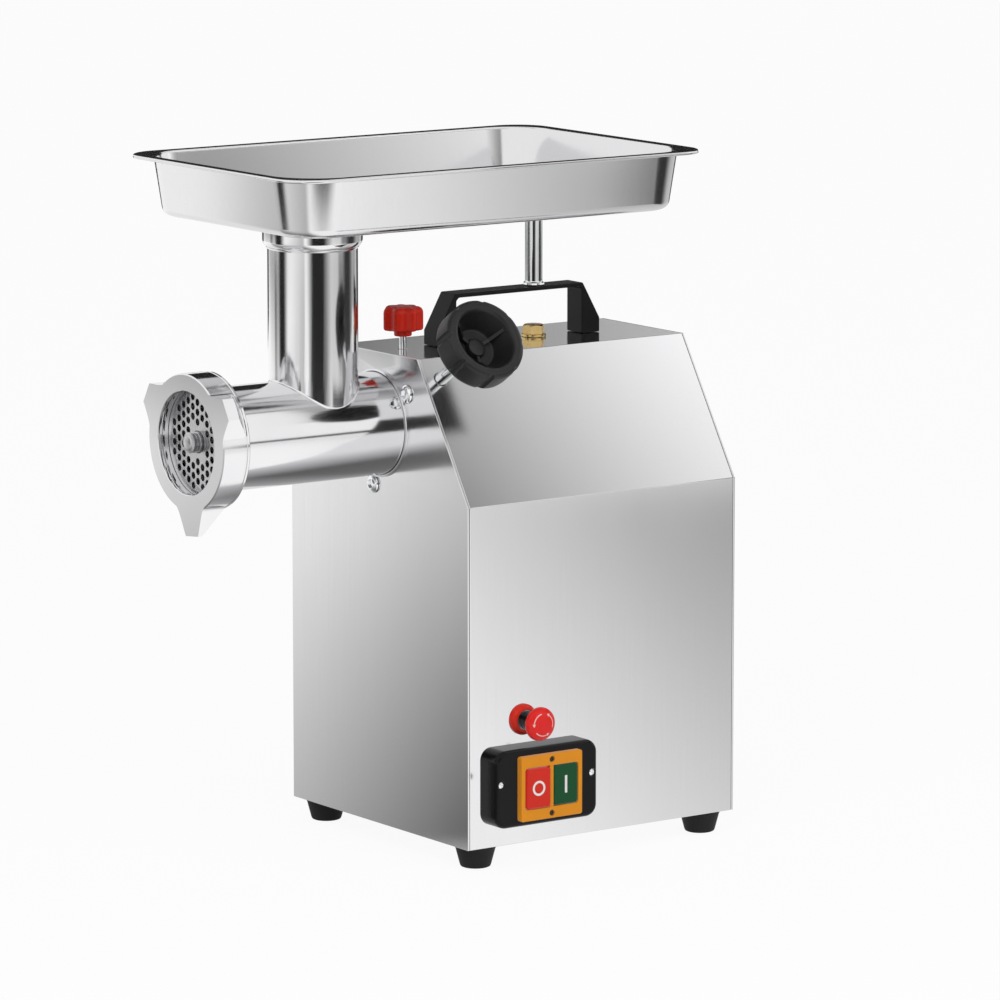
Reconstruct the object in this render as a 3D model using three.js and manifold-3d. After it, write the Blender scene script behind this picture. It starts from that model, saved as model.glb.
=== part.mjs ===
// Electric meat grinder with a folded stainless casing, a pull-out grinding head, a loose tray and a
// two-stage gear train behind the front panel.
// Millimetres. +Z is up, -Y is the outlet end, +X is the side that carries the switches.
import * as THREE from 'three';
import { mergeVertices } from 'three/addons/utils/BufferGeometryUtils.js';
import Module from 'manifold-3d';

const wasm = await Module();
wasm.setup();

// ---- Driving dimensions -------------------------------------------------------------------------
// Clearances: GAP between pieces that touch, RUN on the radius of what turns or slides in a bore.
const GAP = 0.3;
const RUN = 0.1;
const SHEET = 1.5;

// Casing: upright box whose two upper long sides lean in to a narrow top.
const BODY_W = 224;
const BODY_D = 236;
const FOOT_H = 16;
const FOOT_R_TOP = 14.8;
const FOOT_R_LOW = 11.2;
const FOOT_IN_X = 16.5;
const FOOT_IN_Y = 18;
const SHOULDER_Z = FOOT_H + 245.6;
const TOP_Z = FOOT_H + 344;
const TOP_W = 99.5;

// Grinding head.
const AXIS_Z = FOOT_H + 292.5;
const BARREL_R = 37;
const BORE_R = 31;
const SPIGOT_R = 30;
const FACE_Y = -BODY_D / 2 - 162;
const RING_R = 48.8;
const RING_L = 22.5;
const RING_OPEN_R = 36.65;
const PLATE_R = 41;
const PLATE_T = 8;
const PLATE_SET_BACK = 9.7;
const HOLE_R = 2.5;
const HOLE_PITCH = 7;
const STUD_R = 7.5;
const THROAT_Y = -173;
const THROAT_R = 32;
const THROAT_BORE_R = 26;
const COLLAR_R = 35.5;

// Tray.
const TRAY_X = 115.2;
const TRAY_Y0 = -261.6;
const TRAY_Y1 = 94.3;
const TRAY_RIM_Z = FOOT_H + 485;
const TRAY_FLOOR_Z = FOOT_H + 442;
const TRAY_FLANGE = 8.5;
const TRAY_SHEET = 1.2;
const TRAY_RIM_CORNER = 27;
const TRAY_WALL_CORNER = 34;
const TRAY_DRAFT = 6;
const TRAY_HEM = 2;
const SPOUT_L = 28;
const POST_Y = 19;
const POST_R = 6.3;

// Carrying handle on the top panel.
const HANDLE_W = 19;
const HANDLE_OUT = 71.5;
const HANDLE_IN = 55.5;
const HANDLE_TOP_OUT = 56.5;
const HANDLE_BAR = 3;
const HANDLE_TOP_Z = FOOT_H + 381.5;
const HANDLE_HEEL = 10.5;

// Gear train: module and tooth counts of both stages, and the shaft centres that follow from them.
const OUT_MODULE = 2;
const OUT_TEETH = 34;
const COUNTER_TEETH = 16;
const IN_MODULE = 1.5;
const WHEEL_TEETH = 54;
const PINION_TEETH = 16;
const BACKLASH = 0.3;
const COUNTER_X = 30;
const OUT_DIST = OUT_MODULE * (OUT_TEETH + COUNTER_TEETH) / 2;
const IN_DIST = IN_MODULE * (WHEEL_TEETH + PINION_TEETH) / 2;
const COUNTER_Z = AXIS_Z - Math.sqrt(OUT_DIST ** 2 - COUNTER_X ** 2);
const MOTOR_Z = COUNTER_Z - Math.sqrt(IN_DIST ** 2 - COUNTER_X ** 2);
const MOTOR_R = 58;

// Clamp screw: square to the switch-side slant and pointing at the head's axis.
const CLAMP_Y = -104;
const CLAMP_R = 4.75;
const CLAMP_REACH = 68;
const KNOB_R = 30.4;

// Lock pin on the top panel, and the oil plug beside it under the handle.
const LOCK_Y = -96;
const LOCK_R = 2.6;
const OIL_Y = 19;

// Switches on the right-hand panel.
const SWITCH_Y = -64;
const SWITCH_Z = FOOT_H + 45.2;
const BOX_Y = 88;
const BOX_Z = 56;
const BOX_X = 21;
const BEZEL_Y = 53;
const BEZEL_Z = 46.5;
const BEZEL_X = 5.2;
const BUTTON_Y = 20.8;
const BUTTON_Z = 29;
const BUTTON_STEP = 12.2;
const BUTTON_TRAVEL = 3;
const CUTOUT_Y = 46;
const CUTOUT_Z = 34;
const ESTOP_Y = -72;
const ESTOP_Z = FOOT_H + 90.3;
const ESTOP_R = 12;
const ESTOP_REACH = 28;

// ---- Materials ----------------------------------------------------------------------------------
const material = (color, roughness, metalness) =>
  new THREE.MeshStandardMaterial({ color, roughness, metalness });
const STAINLESS = material(0xc9ccce, 0.2, 1);
const CHROME = material(0xd8dadc, 0.1, 1);
const STEEL = material(0x8c9094, 0.35, 1);
const CAST = material(0xa3a6a8, 0.5, 1);
const BRASS = material(0xc79a4a, 0.3, 1);
const COPPER = material(0xb06a3b, 0.4, 1);
const BRONZE = material(0x9a6b3a, 0.4, 1);
const BLACK = material(0x111113, 0.35, 0);
const RUBBER = material(0x161616, 0.8, 0);
const RED = material(0xc8141c, 0.3, 0);
const GREEN = material(0x178a3c, 0.3, 0);
const ORANGE = material(0xe8701c, 0.35, 0);
const PAINT = material(0x2d3238, 0.55, 0);
const CREAM = material(0xd9d6cc, 0.5, 0);

// ---- Solids -------------------------------------------------------------------------------------
const group = new THREE.Group();
group.name = 'electric_meat_grinder';

// A closed solid from any three.js geometry, turned right side out.
function solid(geometry) {
  geometry.deleteAttribute('normal');
  geometry.deleteAttribute('uv');
  const merged = mergeVertices(geometry, 1e-4);
  const at = merged.attributes.position.array;
  const index = merged.index.array;
  const kept = [];
  let volume = 0;
  for (let i = 0; i < index.length; i += 3) {
    const [a, b, c] = [index[i], index[i + 1], index[i + 2]];
    if (a === b || b === c || a === c) continue;
    kept.push(a, b, c);
    const p = new THREE.Vector3().fromArray(at, a * 3);
    const q = new THREE.Vector3().fromArray(at, b * 3);
    volume += p.dot(q.cross(new THREE.Vector3().fromArray(at, c * 3)));
  }
  if (volume < 0) kept.reverse();
  const mesh = new wasm.Mesh({
    numProp: 3, vertProperties: new Float32Array(at), triVerts: new Uint32Array(kept),
  });
  mesh.merge();
  return new wasm.Manifold(mesh);
}

// Adds one named piece to the group.
function piece(name, body, look) {
  const out = body.getMesh();
  const geometry = new THREE.BufferGeometry();
  const positions = new Float32Array(out.numVert * 3);
  for (let i = 0; i < out.numVert; i++) {
    for (let k = 0; k < 3; k++) positions[i * 3 + k] = out.vertProperties[i * out.numProp + k];
  }
  geometry.setAttribute('position', new THREE.BufferAttribute(positions, 3));
  geometry.setIndex(Array.from(out.triVerts));
  geometry.computeVertexNormals();
  const mesh = new THREE.Mesh(geometry, look);
  mesh.name = name;
  group.add(mesh);
}

// Extrudes an outline along an axis. The outline's two coordinates are the other two, in X, Y, Z order.
const BASIS = {
  x: [[0, 1, 0], [0, 0, 1], [1, 0, 0]],
  y: [[1, 0, 0], [0, 0, 1], [0, -1, 0]],
  z: [[1, 0, 0], [0, 1, 0], [0, 0, 1]],
};
function extrude(outline, axis, from, to, holes = [], steps = 1) {
  const shape = new THREE.Shape(outline.map(([u, v]) => new THREE.Vector2(u, v)));
  for (const hole of holes) {
    shape.holes.push(new THREE.Path(hole.map(([u, v]) => new THREE.Vector2(u, v))));
  }
  const geometry = new THREE.ExtrudeGeometry(shape, { depth: to - from, bevelEnabled: false, steps });
  const [u, v, w] = BASIS[axis].map((part) => new THREE.Vector3(...part));
  geometry.applyMatrix4(new THREE.Matrix4().makeBasis(u, v, w));
  const start = axis === 'y' ? to : from;
  geometry.translate(...['x', 'y', 'z'].map((name) => (name === axis ? start : 0)));
  return solid(geometry);
}

// Turns a profile of [radius, distance] pairs about a line through a point.
function turned(profile, origin, direction, segments = 32) {
  const points = profile.map(([r, t]) => new THREE.Vector2(r, t));
  const geometry = new THREE.LatheGeometry(points, segments);
  const turn = new THREE.Quaternion().setFromUnitVectors(
    new THREE.Vector3(0, 1, 0), new THREE.Vector3(...direction).normalize());
  geometry.applyQuaternion(turn);
  geometry.translate(...origin);
  return solid(geometry);
}
const ring = (outer, inner, from, to) =>
  [[inner, from], [outer, from], [outer, to], [inner, to], [inner, from]];
const disc = (radius, from, to) => [[0, from], [radius, from], [radius, to], [0, to]];
// Corner radius of a faceted bore whose flats stay outside a given radius.
const bored = (radius, count) => radius / Math.cos(Math.PI / count);
const X = [1, 0, 0];
const Y = [0, 1, 0];
const Z = [0, 0, 1];

const circle = (u, v, radius, count, phase = 0) =>
  Array.from({ length: count }, (_, i) => {
    const a = phase + (i * 2 * Math.PI) / count;
    return [u + radius * Math.cos(a), v + radius * Math.sin(a)];
  });
const rect = (u, v, width, height) => [
  [u - width / 2, v - height / 2], [u + width / 2, v - height / 2],
  [u + width / 2, v + height / 2], [u - width / 2, v + height / 2],
];
function roundRect(u, v, width, height, radius, count = 5) {
  const points = [];
  for (const [sx, sy, start] of [[1, -1, -0.5], [1, 1, 0], [-1, 1, 0.5], [-1, -1, 1]]) {
    for (let i = 0; i <= count; i++) {
      const a = Math.PI * (start + (i / count) * 0.5);
      points.push([
        u + sx * (width / 2 - radius) + radius * Math.cos(a),
        v + sy * (height / 2 - radius) + radius * Math.sin(a),
      ]);
    }
  }
  return points;
}

// ---- Casing -------------------------------------------------------------------------------------
const halfW = BODY_W / 2;
const halfD = BODY_D / 2;
const halfTop = TOP_W / 2;
const slope = new THREE.Vector2(TOP_Z - SHOULDER_Z, halfW - halfTop).normalize();
const slopeAt = slope.x * halfW + slope.y * SHOULDER_Z;

// Right half of the casing's outline, moved in by an offset; mirrored to close it.
function bodyOutline(inset, floor) {
  const level = slopeAt - inset;
  const x = halfW - inset;
  const z = TOP_Z - inset;
  const right = [[x, floor], [x, (level - slope.x * x) / slope.y], [(level - slope.y * z) / slope.x, z]];
  return [...right, ...right.map(([u, v]) => [-u, v]).reverse()];
}
const clampAxis = [slope.x, 0, slope.y];
const clampOrigin = [0, CLAMP_Y, AXIS_Z];
const clampPanel = slopeAt - slope.y * AXIS_Z;

const wrapEnd = halfD - SHEET - GAP;
let wrap = extrude([...bodyOutline(0, FOOT_H), ...bodyOutline(SHEET, FOOT_H).reverse()],
  'y', -wrapEnd, wrapEnd);
const wrapCuts = [
  turned(disc(LOCK_R + 1, TOP_Z - 5, TOP_Z + 5), [0, LOCK_Y, 0], Z, 16),
  turned(disc(6 + GAP, TOP_Z - 5, TOP_Z + 5), [0, OIL_Y, 0], Z, 16),
  turned(disc(CLAMP_R + 1.2, clampPanel - 6, clampPanel + 6), clampOrigin, clampAxis, 20),
  turned(disc(8.5 + GAP, halfW - 5, halfW + 5), [0, ESTOP_Y, ESTOP_Z], X, 20),
  extrude(rect(SWITCH_Y, SWITCH_Z, CUTOUT_Y, CUTOUT_Z), 'x', halfW - 5, halfW + 5),
];
for (const side of [-1, 1]) {
  wrapCuts.push(turned(disc(3 + GAP, TOP_Z - 5, TOP_Z + 5),
    [0, side * (HANDLE_IN + HANDLE_OUT) / 2, 0], Z, 12));
}
for (const cut of wrapCuts) wrap = wrap.subtract(cut);
piece('casing_wrap', wrap, STAINLESS);

const NOSE_R = 37.8;
const BOLT_CIRCLE = 45;
const boltAngles = [34, 150, 263].map(THREE.MathUtils.degToRad);
const boltAt = boltAngles.map((a) => [BOLT_CIRCLE * Math.cos(a), AXIS_Z + BOLT_CIRCLE * Math.sin(a)]);
const BOLT_R = 2.3;
piece('front_panel', extrude(bodyOutline(0, FOOT_H), 'y', -halfD, -halfD + SHEET,
  [circle(0, AXIS_Z, NOSE_R + GAP, 40), ...boltAt.map(([x, z]) => circle(x, z, BOLT_R + GAP, 12))]),
STAINLESS);

// Rear panel: two columns of cooling slots and the cable entry.
const GLAND_X = -70;
const GLAND_Z = FOOT_H + 40;
const slots = [];
for (const column of [-1, 1]) {
  for (let row = 0; row < 6; row++) {
    slots.push(roundRect(column * 38, MOTOR_Z - 35 + row * 14, 52, 5, 1.6, 1));
  }
}
piece('rear_panel', extrude(bodyOutline(0, FOOT_H), 'y', halfD - SHEET, halfD,
  [...slots, circle(GLAND_X, GLAND_Z, 8 + GAP, 20)]), STAINLESS);

const BASE_T = 2;
const baseTop = FOOT_H + BASE_T;
piece('base_plate', extrude(
  rect(0, 0, 2 * (halfW - SHEET - GAP), 2 * (halfD - SHEET - GAP)), 'z', FOOT_H, baseTop), STEEL);
for (const [name, sx, sy] of [['front_right', 1, -1], ['front_left', -1, -1],
  ['rear_right', 1, 1], ['rear_left', -1, 1]]) {
  piece(`foot_${name}`, turned(
    [[0, 0], [FOOT_R_LOW - 1, 0], [FOOT_R_LOW, 1], [FOOT_R_TOP, FOOT_H - GAP], [0, FOOT_H - GAP]],
    [sx * (halfW - FOOT_IN_X), sy * (halfD - FOOT_IN_Y), 0], Z, 20), RUBBER);
}

// ---- Gear housing -------------------------------------------------------------------------------
// One casting: nose and socket for the head, the flange behind the front panel, and the gear case.
const nose = -halfD - 1;
const SOCKET_END = -88;
const CASE_FRONT = -86;
const CASE_WALL = 12;
const CASE_BACK = -30;
const COVER_T = 11;
const BIG_BEARING_R = 26;
const SMALL_BEARING_R = 15;
const OUT_SHAFT_R = 15;
const COUNTER_SHAFT_R = 9;
const OUT_TAIL_R = 6.5;
const MOTOR_SHAFT_R = 6;

// Convex outline around circles.
function hull(circles) {
  const points = circles.flatMap(([u, v, r]) => circle(u, v, r, 24));
  points.sort((p, q) => p[0] - q[0] || p[1] - q[1]);
  const half = (list) => {
    const chain = [];
    for (const p of list) {
      while (chain.length > 1) {
        const [a, b] = chain.slice(-2);
        if ((b[0] - a[0]) * (p[1] - a[1]) - (b[1] - a[1]) * (p[0] - a[0]) > 1e-9) break;
        chain.pop();
      }
      chain.push(p);
    }
    return chain.slice(0, -1);
  };
  return [...half(points), ...half(points.slice().reverse())];
}
const caseOutline = (wall) => hull([
  [0, AXIS_Z, 39 + wall], [COUNTER_X, COUNTER_Z, 44 + wall], [0, MOTOR_Z, 20 + wall]]);

let housing = extrude(caseOutline(5), 'y', CASE_FRONT, CASE_BACK)
  .subtract(extrude(caseOutline(0), 'y', CASE_FRONT + CASE_WALL, CASE_BACK + 1));
const flangeBack = -halfD + SHEET + GAP;
housing = housing.add(turned([[0, nose], [NOSE_R, nose], [NOSE_R, flangeBack], [49.5, flangeBack],
  [49.5, flangeBack + 7], [41, flangeBack + 7], [41, CASE_FRONT + 1], [0, CASE_FRONT + 1]],
  [0, 0, AXIS_Z], Y, 40));
housing = housing.add(turned(disc(10, 35, 52), clampOrigin, clampAxis, 20));
const housingCuts = [
  turned(disc(SPIGOT_R + RUN, nose - 1, SOCKET_END), [0, 0, AXIS_Z], Y, 40),
  turned(disc(bored(BIG_BEARING_R + RUN, 32), SOCKET_END - 1, CASE_FRONT + CASE_WALL + 1),
    [0, 0, AXIS_Z], Y),
  turned(disc(bored(SMALL_BEARING_R + RUN, 32), CASE_FRONT - 1, CASE_FRONT + CASE_WALL + 1),
    [COUNTER_X, 0, COUNTER_Z], Y),
  turned(disc(CLAMP_R + RUN * 2, 20, 60), clampOrigin, clampAxis, 20),
  turned(disc(LOCK_R + RUN * 2, 20, 60), [0, LOCK_Y, AXIS_Z], Z, 16),
];
for (const cut of housingCuts) housing = housing.subtract(cut);
for (const [x, z] of boltAt) {
  housing = housing.subtract(turned(disc(BOLT_R + RUN, -halfD - 2, flangeBack + 8), [x, 0, z], Y, 12));
}
piece('gear_housing', housing, CAST);

const coverFront = CASE_BACK + GAP;
const coverBack = coverFront + COVER_T;
const coverBore = bored(SMALL_BEARING_R + RUN, 24);
const cover = extrude(caseOutline(5), 'y', coverFront, coverBack, [
  circle(0, AXIS_Z, coverBore, 24), circle(COUNTER_X, COUNTER_Z, coverBore, 24),
  circle(0, MOTOR_Z, coverBore, 24)]);
piece('gear_cover', cover, CAST);

// Bearings: plain rings, one at each end of every shaft.
const bearing = (name, x, z, outer, inner, from, to) =>
  piece(name, turned(ring(outer, bored(inner + RUN, 16), from, to), [x, 0, z], Y, 16), STEEL);
bearing('bearing_output_front', 0, AXIS_Z, BIG_BEARING_R, OUT_SHAFT_R,
  CASE_FRONT + 0.5, CASE_FRONT + CASE_WALL - 0.5);
bearing('bearing_output_rear', 0, AXIS_Z, SMALL_BEARING_R, OUT_TAIL_R, coverFront + 1, coverBack - 1);
bearing('bearing_counter_front', COUNTER_X, COUNTER_Z, SMALL_BEARING_R, COUNTER_SHAFT_R,
  CASE_FRONT + 0.5, CASE_FRONT + CASE_WALL - 0.5);
bearing('bearing_counter_rear', COUNTER_X, COUNTER_Z, SMALL_BEARING_R, COUNTER_SHAFT_R,
  coverFront + 1, coverBack - 1);
bearing('bearing_motor_front', 0, MOTOR_Z, SMALL_BEARING_R, MOTOR_SHAFT_R, coverFront + 1, coverBack - 1);

// Flange bolts: hexagon heads on the front panel.
boltAt.forEach(([x, z], i) => {
  const bolt = extrude(circle(x, z, 6.9, 6, 0.3 + i), 'y', -halfD - GAP - 3, -halfD - GAP)
    .add(turned(disc(BOLT_R, -halfD - GAP - 1, flangeBack + 5), [x, 0, z], Y, 12));
  piece(`flange_bolt_${i + 1}`, bolt, CHROME);
});

// ---- Gears --------------------------------------------------------------------------------------
// Involute flanks at 20 degrees, thinned on both sides by half the backlash.
function gearOutline(x, z, modulus, teeth, phase) {
  const pitchR = modulus * teeth / 2;
  const baseR = pitchR * Math.cos(Math.PI / 9);
  const roll = (r) => Math.sqrt((r / baseR) ** 2 - 1) - Math.acos(baseR / r);
  const rootR = pitchR - 1.25 * modulus;
  const tipR = pitchR + 0.96 * modulus;
  const half = (r) => Math.PI / (2 * teeth) + roll(pitchR) - roll(Math.max(r, baseR))
    - BACKLASH / (2 * pitchR);
  const radii = [rootR, pitchR, tipR];
  const points = [];
  for (let i = 0; i < teeth; i++) {
    const mid = phase + (i * 2 * Math.PI) / teeth;
    for (const r of radii) points.push([x + r * Math.cos(mid - half(r)), z + r * Math.sin(mid - half(r))]);
    for (const r of radii.slice().reverse()) {
      points.push([x + r * Math.cos(mid + half(r)), z + r * Math.sin(mid + half(r))]);
    }
  }
  return points;
}
// A tooth of the driven gear points at its partner, which meets it with a gap.
const toCounter = Math.atan2(COUNTER_Z - AXIS_Z, COUNTER_X);
const toMotor = Math.atan2(MOTOR_Z - COUNTER_Z, -COUNTER_X);
const facing = (angle, teeth) => angle + Math.PI + Math.PI / teeth;
const OUT_GEAR = [-70, -50];
const WHEEL = [-47.5, -35.5];
const TANG = 14;
const TANG_START = -90;
const TANG_END = -76;

const tangHole = extrude(rect(0, AXIS_Z, TANG + 0.8, TANG + 0.8), 'y', -93, TANG_END + 1);
piece('output_shaft', turned([[0, -86], [OUT_SHAFT_R, -86], [OUT_SHAFT_R, OUT_GEAR[1] + 0.5],
  [OUT_TAIL_R, OUT_GEAR[1] + 1.5], [OUT_TAIL_R, coverBack - 1], [0, coverBack - 1]],
  [0, 0, AXIS_Z], Y, 24).subtract(tangHole), STEEL);
piece('output_gear', extrude(gearOutline(0, AXIS_Z, OUT_MODULE, OUT_TEETH, toCounter),
  'y', ...OUT_GEAR, [circle(0, AXIS_Z, OUT_SHAFT_R + GAP, 24)]), STEEL);
piece('counter_shaft', turned(disc(COUNTER_SHAFT_R, CASE_FRONT + 0.5, coverBack - 1),
  [COUNTER_X, 0, COUNTER_Z], Y, 24).add(extrude(
  gearOutline(COUNTER_X, COUNTER_Z, OUT_MODULE, COUNTER_TEETH, facing(toCounter, COUNTER_TEETH)),
  'y', OUT_GEAR[0] - 0.5, OUT_GEAR[1] + 0.5)), STEEL);
piece('counter_wheel', extrude(
  gearOutline(COUNTER_X, COUNTER_Z, IN_MODULE, WHEEL_TEETH, toMotor),
  'y', ...WHEEL, [circle(COUNTER_X, COUNTER_Z, COUNTER_SHAFT_R + GAP, 24)]), BRONZE);

// ---- Motor --------------------------------------------------------------------------------------
const motorFront = coverBack + GAP;
const MOTOR_BACK = 90;
const MOTOR_WALL = 4;
const STATOR = [6, 68];
const ROTOR_R = 33;
const REAR_BELL = [MOTOR_BACK + GAP, 100];
const SHAFT_END = 112;
piece('motor_housing', turned([[MOTOR_SHAFT_R + 8, motorFront], [MOTOR_R, motorFront],
  [MOTOR_R, MOTOR_BACK], [MOTOR_R - MOTOR_WALL, MOTOR_BACK], [MOTOR_R - MOTOR_WALL, motorFront + 6],
  [MOTOR_SHAFT_R + 8, motorFront + 6], [MOTOR_SHAFT_R + 8, motorFront]], [0, 0, MOTOR_Z], Y, 40), PAINT);
const bellBore = bored(SMALL_BEARING_R + RUN, 40);
piece('motor_rear_bell', turned([[bellBore, REAR_BELL[0]], [MOTOR_R, REAR_BELL[0]],
  [MOTOR_R - 3, REAR_BELL[1] - 2], [30, REAR_BELL[1]], [bellBore, REAR_BELL[1]],
  [bellBore, REAR_BELL[0]]], [0, 0, MOTOR_Z], Y, 40), CAST);
bearing('bearing_motor_rear', 0, MOTOR_Z, SMALL_BEARING_R, MOTOR_SHAFT_R,
  REAR_BELL[0] + 0.5, REAR_BELL[1] - 0.5);
const statorR = MOTOR_R - MOTOR_WALL - GAP;
piece('stator_core', turned(ring(statorR, ROTOR_R + 1, ...STATOR), [0, 0, MOTOR_Z], Y, 40), STEEL);
for (const [name, from, to] of [['front', STATOR[0] - GAP - 11, STATOR[0] - GAP],
  ['rear', STATOR[1] + GAP, STATOR[1] + GAP + 11]]) {
  piece(`winding_${name}`, turned([[37, from + 2], [39, from], [48, from], [50, from + 2],
    [50, to - 2], [48, to], [39, to], [37, to - 2], [37, from + 2]], [0, 0, MOTOR_Z], Y, 16), COPPER);
}
piece('motor_shaft', turned(disc(MOTOR_SHAFT_R, WHEEL[0] - 1, SHAFT_END), [0, 0, MOTOR_Z], Y, 20)
  .add(extrude(gearOutline(0, MOTOR_Z, IN_MODULE, PINION_TEETH, facing(toMotor, PINION_TEETH)),
    'y', WHEEL[0] - 0.5, WHEEL[1] + 0.5)), STEEL);
piece('rotor_core', turned(ring(ROTOR_R, MOTOR_SHAFT_R + GAP, ...STATOR), [0, 0, MOTOR_Z], Y, 20), STEEL);

// Cooling fan: hub, disc and straight blades.
const FAN = [102, 111];
let fan = turned([[MOTOR_SHAFT_R + GAP, FAN[0]], [45, FAN[0]], [45, FAN[0] + 1.5], [12, FAN[0] + 1.5],
  [12, FAN[1]], [MOTOR_SHAFT_R + GAP, FAN[1]], [MOTOR_SHAFT_R + GAP, FAN[0]]], [0, 0, MOTOR_Z], Y, 20);
for (let i = 0; i < 8; i++) {
  const a = (i * Math.PI) / 4;
  const [c, s] = [Math.cos(a), Math.sin(a)];
  const blade = [[11, -1], [44, -1], [44, 1], [11, 1]];
  fan = fan.add(extrude(blade.map(([u, v]) => [u * c - v * s, MOTOR_Z + u * s + v * c]),
    'y', FAN[0] + 1, FAN[1]));
}
piece('cooling_fan', fan, BLACK);

// Cradle from the base plate up to the motor housing.
const cradleTop = MOTOR_Z - 40;
piece('motor_cradle', extrude([[-56, baseTop + GAP], [56, baseTop + GAP], [48, cradleTop], [-48, cradleTop]],
  'y', 25, 65, [[[-46, baseTop + 10], [46, baseTop + 10], [42, 150], [-42, 150]]])
  .subtract(turned(disc(MOTOR_R + GAP, 20, 70), [0, 0, MOTOR_Z], Y, 40)), STEEL);

// Run capacitor standing on the base plate.
piece('capacitor', turned([[0, baseTop + GAP], [21, baseTop + GAP], [21, 108], [19, 110], [0, 110]],
  [-82, 40, 0], Z, 24), CAST);

// Cable gland in the rear panel.
piece('cable_gland', turned([[4, halfD - SHEET - 8], [8, halfD - SHEET - 8], [8, halfD + GAP],
  [11, halfD + GAP], [11, halfD + 6], [9, halfD + 9], [7, halfD + 14], [4, halfD + 14],
  [4, halfD - SHEET - 8]], [GLAND_X, 0, GLAND_Z], Y, 16), BLACK);

// ---- Grinding head ------------------------------------------------------------------------------
const plateFront = FACE_Y + PLATE_SET_BACK;
const plateBack = plateFront + PLATE_T;
const mouth = plateFront + 2;
const THREAD_R = 44.5;
const shoulder = nose - GAP;
const SPIGOT_END = -90;
const SHANK_R = 12;
const BORE_END = -126;
const collarFoot = TRAY_FLOOR_Z - 16;

let barrel = turned([[0, mouth], [THREAD_R, mouth], [THREAD_R, FACE_Y + RING_L + 1],
  [BARREL_R, FACE_Y + RING_L + 7], [BARREL_R, shoulder], [SPIGOT_R, shoulder], [SPIGOT_R, SPIGOT_END],
  [0, SPIGOT_END]], [0, 0, AXIS_Z], Y, 40);
barrel = barrel.add(turned([[0, AXIS_Z], [THROAT_R, AXIS_Z], [THROAT_R, collarFoot - 3.5],
  [COLLAR_R, collarFoot], [COLLAR_R, TRAY_FLOOR_Z - GAP], [0, TRAY_FLOOR_Z - GAP]],
  [0, THROAT_Y, 0], Z, 40));
const barrelCuts = [
  turned(disc(PLATE_R + GAP, mouth - 1, plateBack + GAP), [0, 0, AXIS_Z], Y, 40),
  turned(disc(BORE_R, mouth - 1, BORE_END), [0, 0, AXIS_Z], Y, 36),
  turned(disc(bored(SHANK_R + RUN, 24), BORE_END - 1, SPIGOT_END + 1), [0, 0, AXIS_Z], Y, 24),
  turned(disc(THROAT_BORE_R, AXIS_Z, TRAY_FLOOR_Z + 1), [0, THROAT_Y, 0], Z, 36),
  turned(disc(LOCK_R + 1, AXIS_Z + SPIGOT_R - 6, AXIS_Z + SPIGOT_R + 1), [0, LOCK_Y, 0], Z, 16),
];
for (const cut of barrelCuts) barrel = barrel.subtract(cut);
piece('grinder_barrel', barrel, STAINLESS);

// Auger: a lobed outline twisted along its length, with a shank, a drive tang, a square for the
// knife and a threaded tip.
const FLIGHT_R = BORE_R - 0.6;
const FLIGHT = [plateBack + 11, BORE_END - 2];
const FLIGHT_PITCH = 38;
const CORE_R = 11.5;
const lobe = [[CORE_R, -48], [FLIGHT_R * 0.7, -26], [FLIGHT_R, -17], [FLIGHT_R, 0], [FLIGHT_R, 17],
  [FLIGHT_R * 0.7, 26], [CORE_R, 48]];
for (let a = 80; a <= 280; a += 40) lobe.push([CORE_R, a]);
const flightSteps = Math.round(((FLIGHT[1] - FLIGHT[0]) / FLIGHT_PITCH) * 14);
const lobePoints = lobe.map(([r, a]) => new THREE.Vector2(
  r * Math.cos(THREE.MathUtils.degToRad(a)), r * Math.sin(THREE.MathUtils.degToRad(a))));
const twist = new THREE.ExtrudeGeometry(new THREE.Shape(lobePoints),
  { depth: FLIGHT[1] - FLIGHT[0], bevelEnabled: false, steps: flightSteps });
const at = twist.attributes.position;
for (let i = 0; i < at.count; i++) {
  const p = new THREE.Vector3().fromBufferAttribute(at, i);
  p.applyAxisAngle(new THREE.Vector3(0, 0, 1), (2 * Math.PI * p.z) / FLIGHT_PITCH);
  at.setXYZ(i, p.x, FLIGHT[1] - p.z, AXIS_Z + p.y);
}
const stud = [[0, FACE_Y + 1], [STUD_R - 1.5, FACE_Y + 1]];
for (let i = 0; i < 4; i++) {
  stud.push([STUD_R - 0.9, FACE_Y + 2 + i * 2], [STUD_R, FACE_Y + 3 + i * 2]);
}
stud.push([STUD_R - 0.9, plateFront], [STUD_R, plateFront + 0.5], [STUD_R, FLIGHT[0] + 1],
  [0, FLIGHT[0] + 1]);
const KNIFE_SQ = 12;
const auger = solid(twist)
  .add(turned(stud, [0, 0, AXIS_Z], Y, 20))
  .add(extrude(rect(0, AXIS_Z, KNIFE_SQ, KNIFE_SQ), 'y', plateBack + 0.5, FLIGHT[0] + 1))
  .add(turned(disc(SHANK_R, FLIGHT[1] - 0.5, TANG_START), [0, 0, AXIS_Z], Y, 24))
  .add(extrude(rect(0, AXIS_Z, TANG, TANG), 'y', TANG_START - 1, TANG_END));
piece('auger', auger, STEEL);

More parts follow.
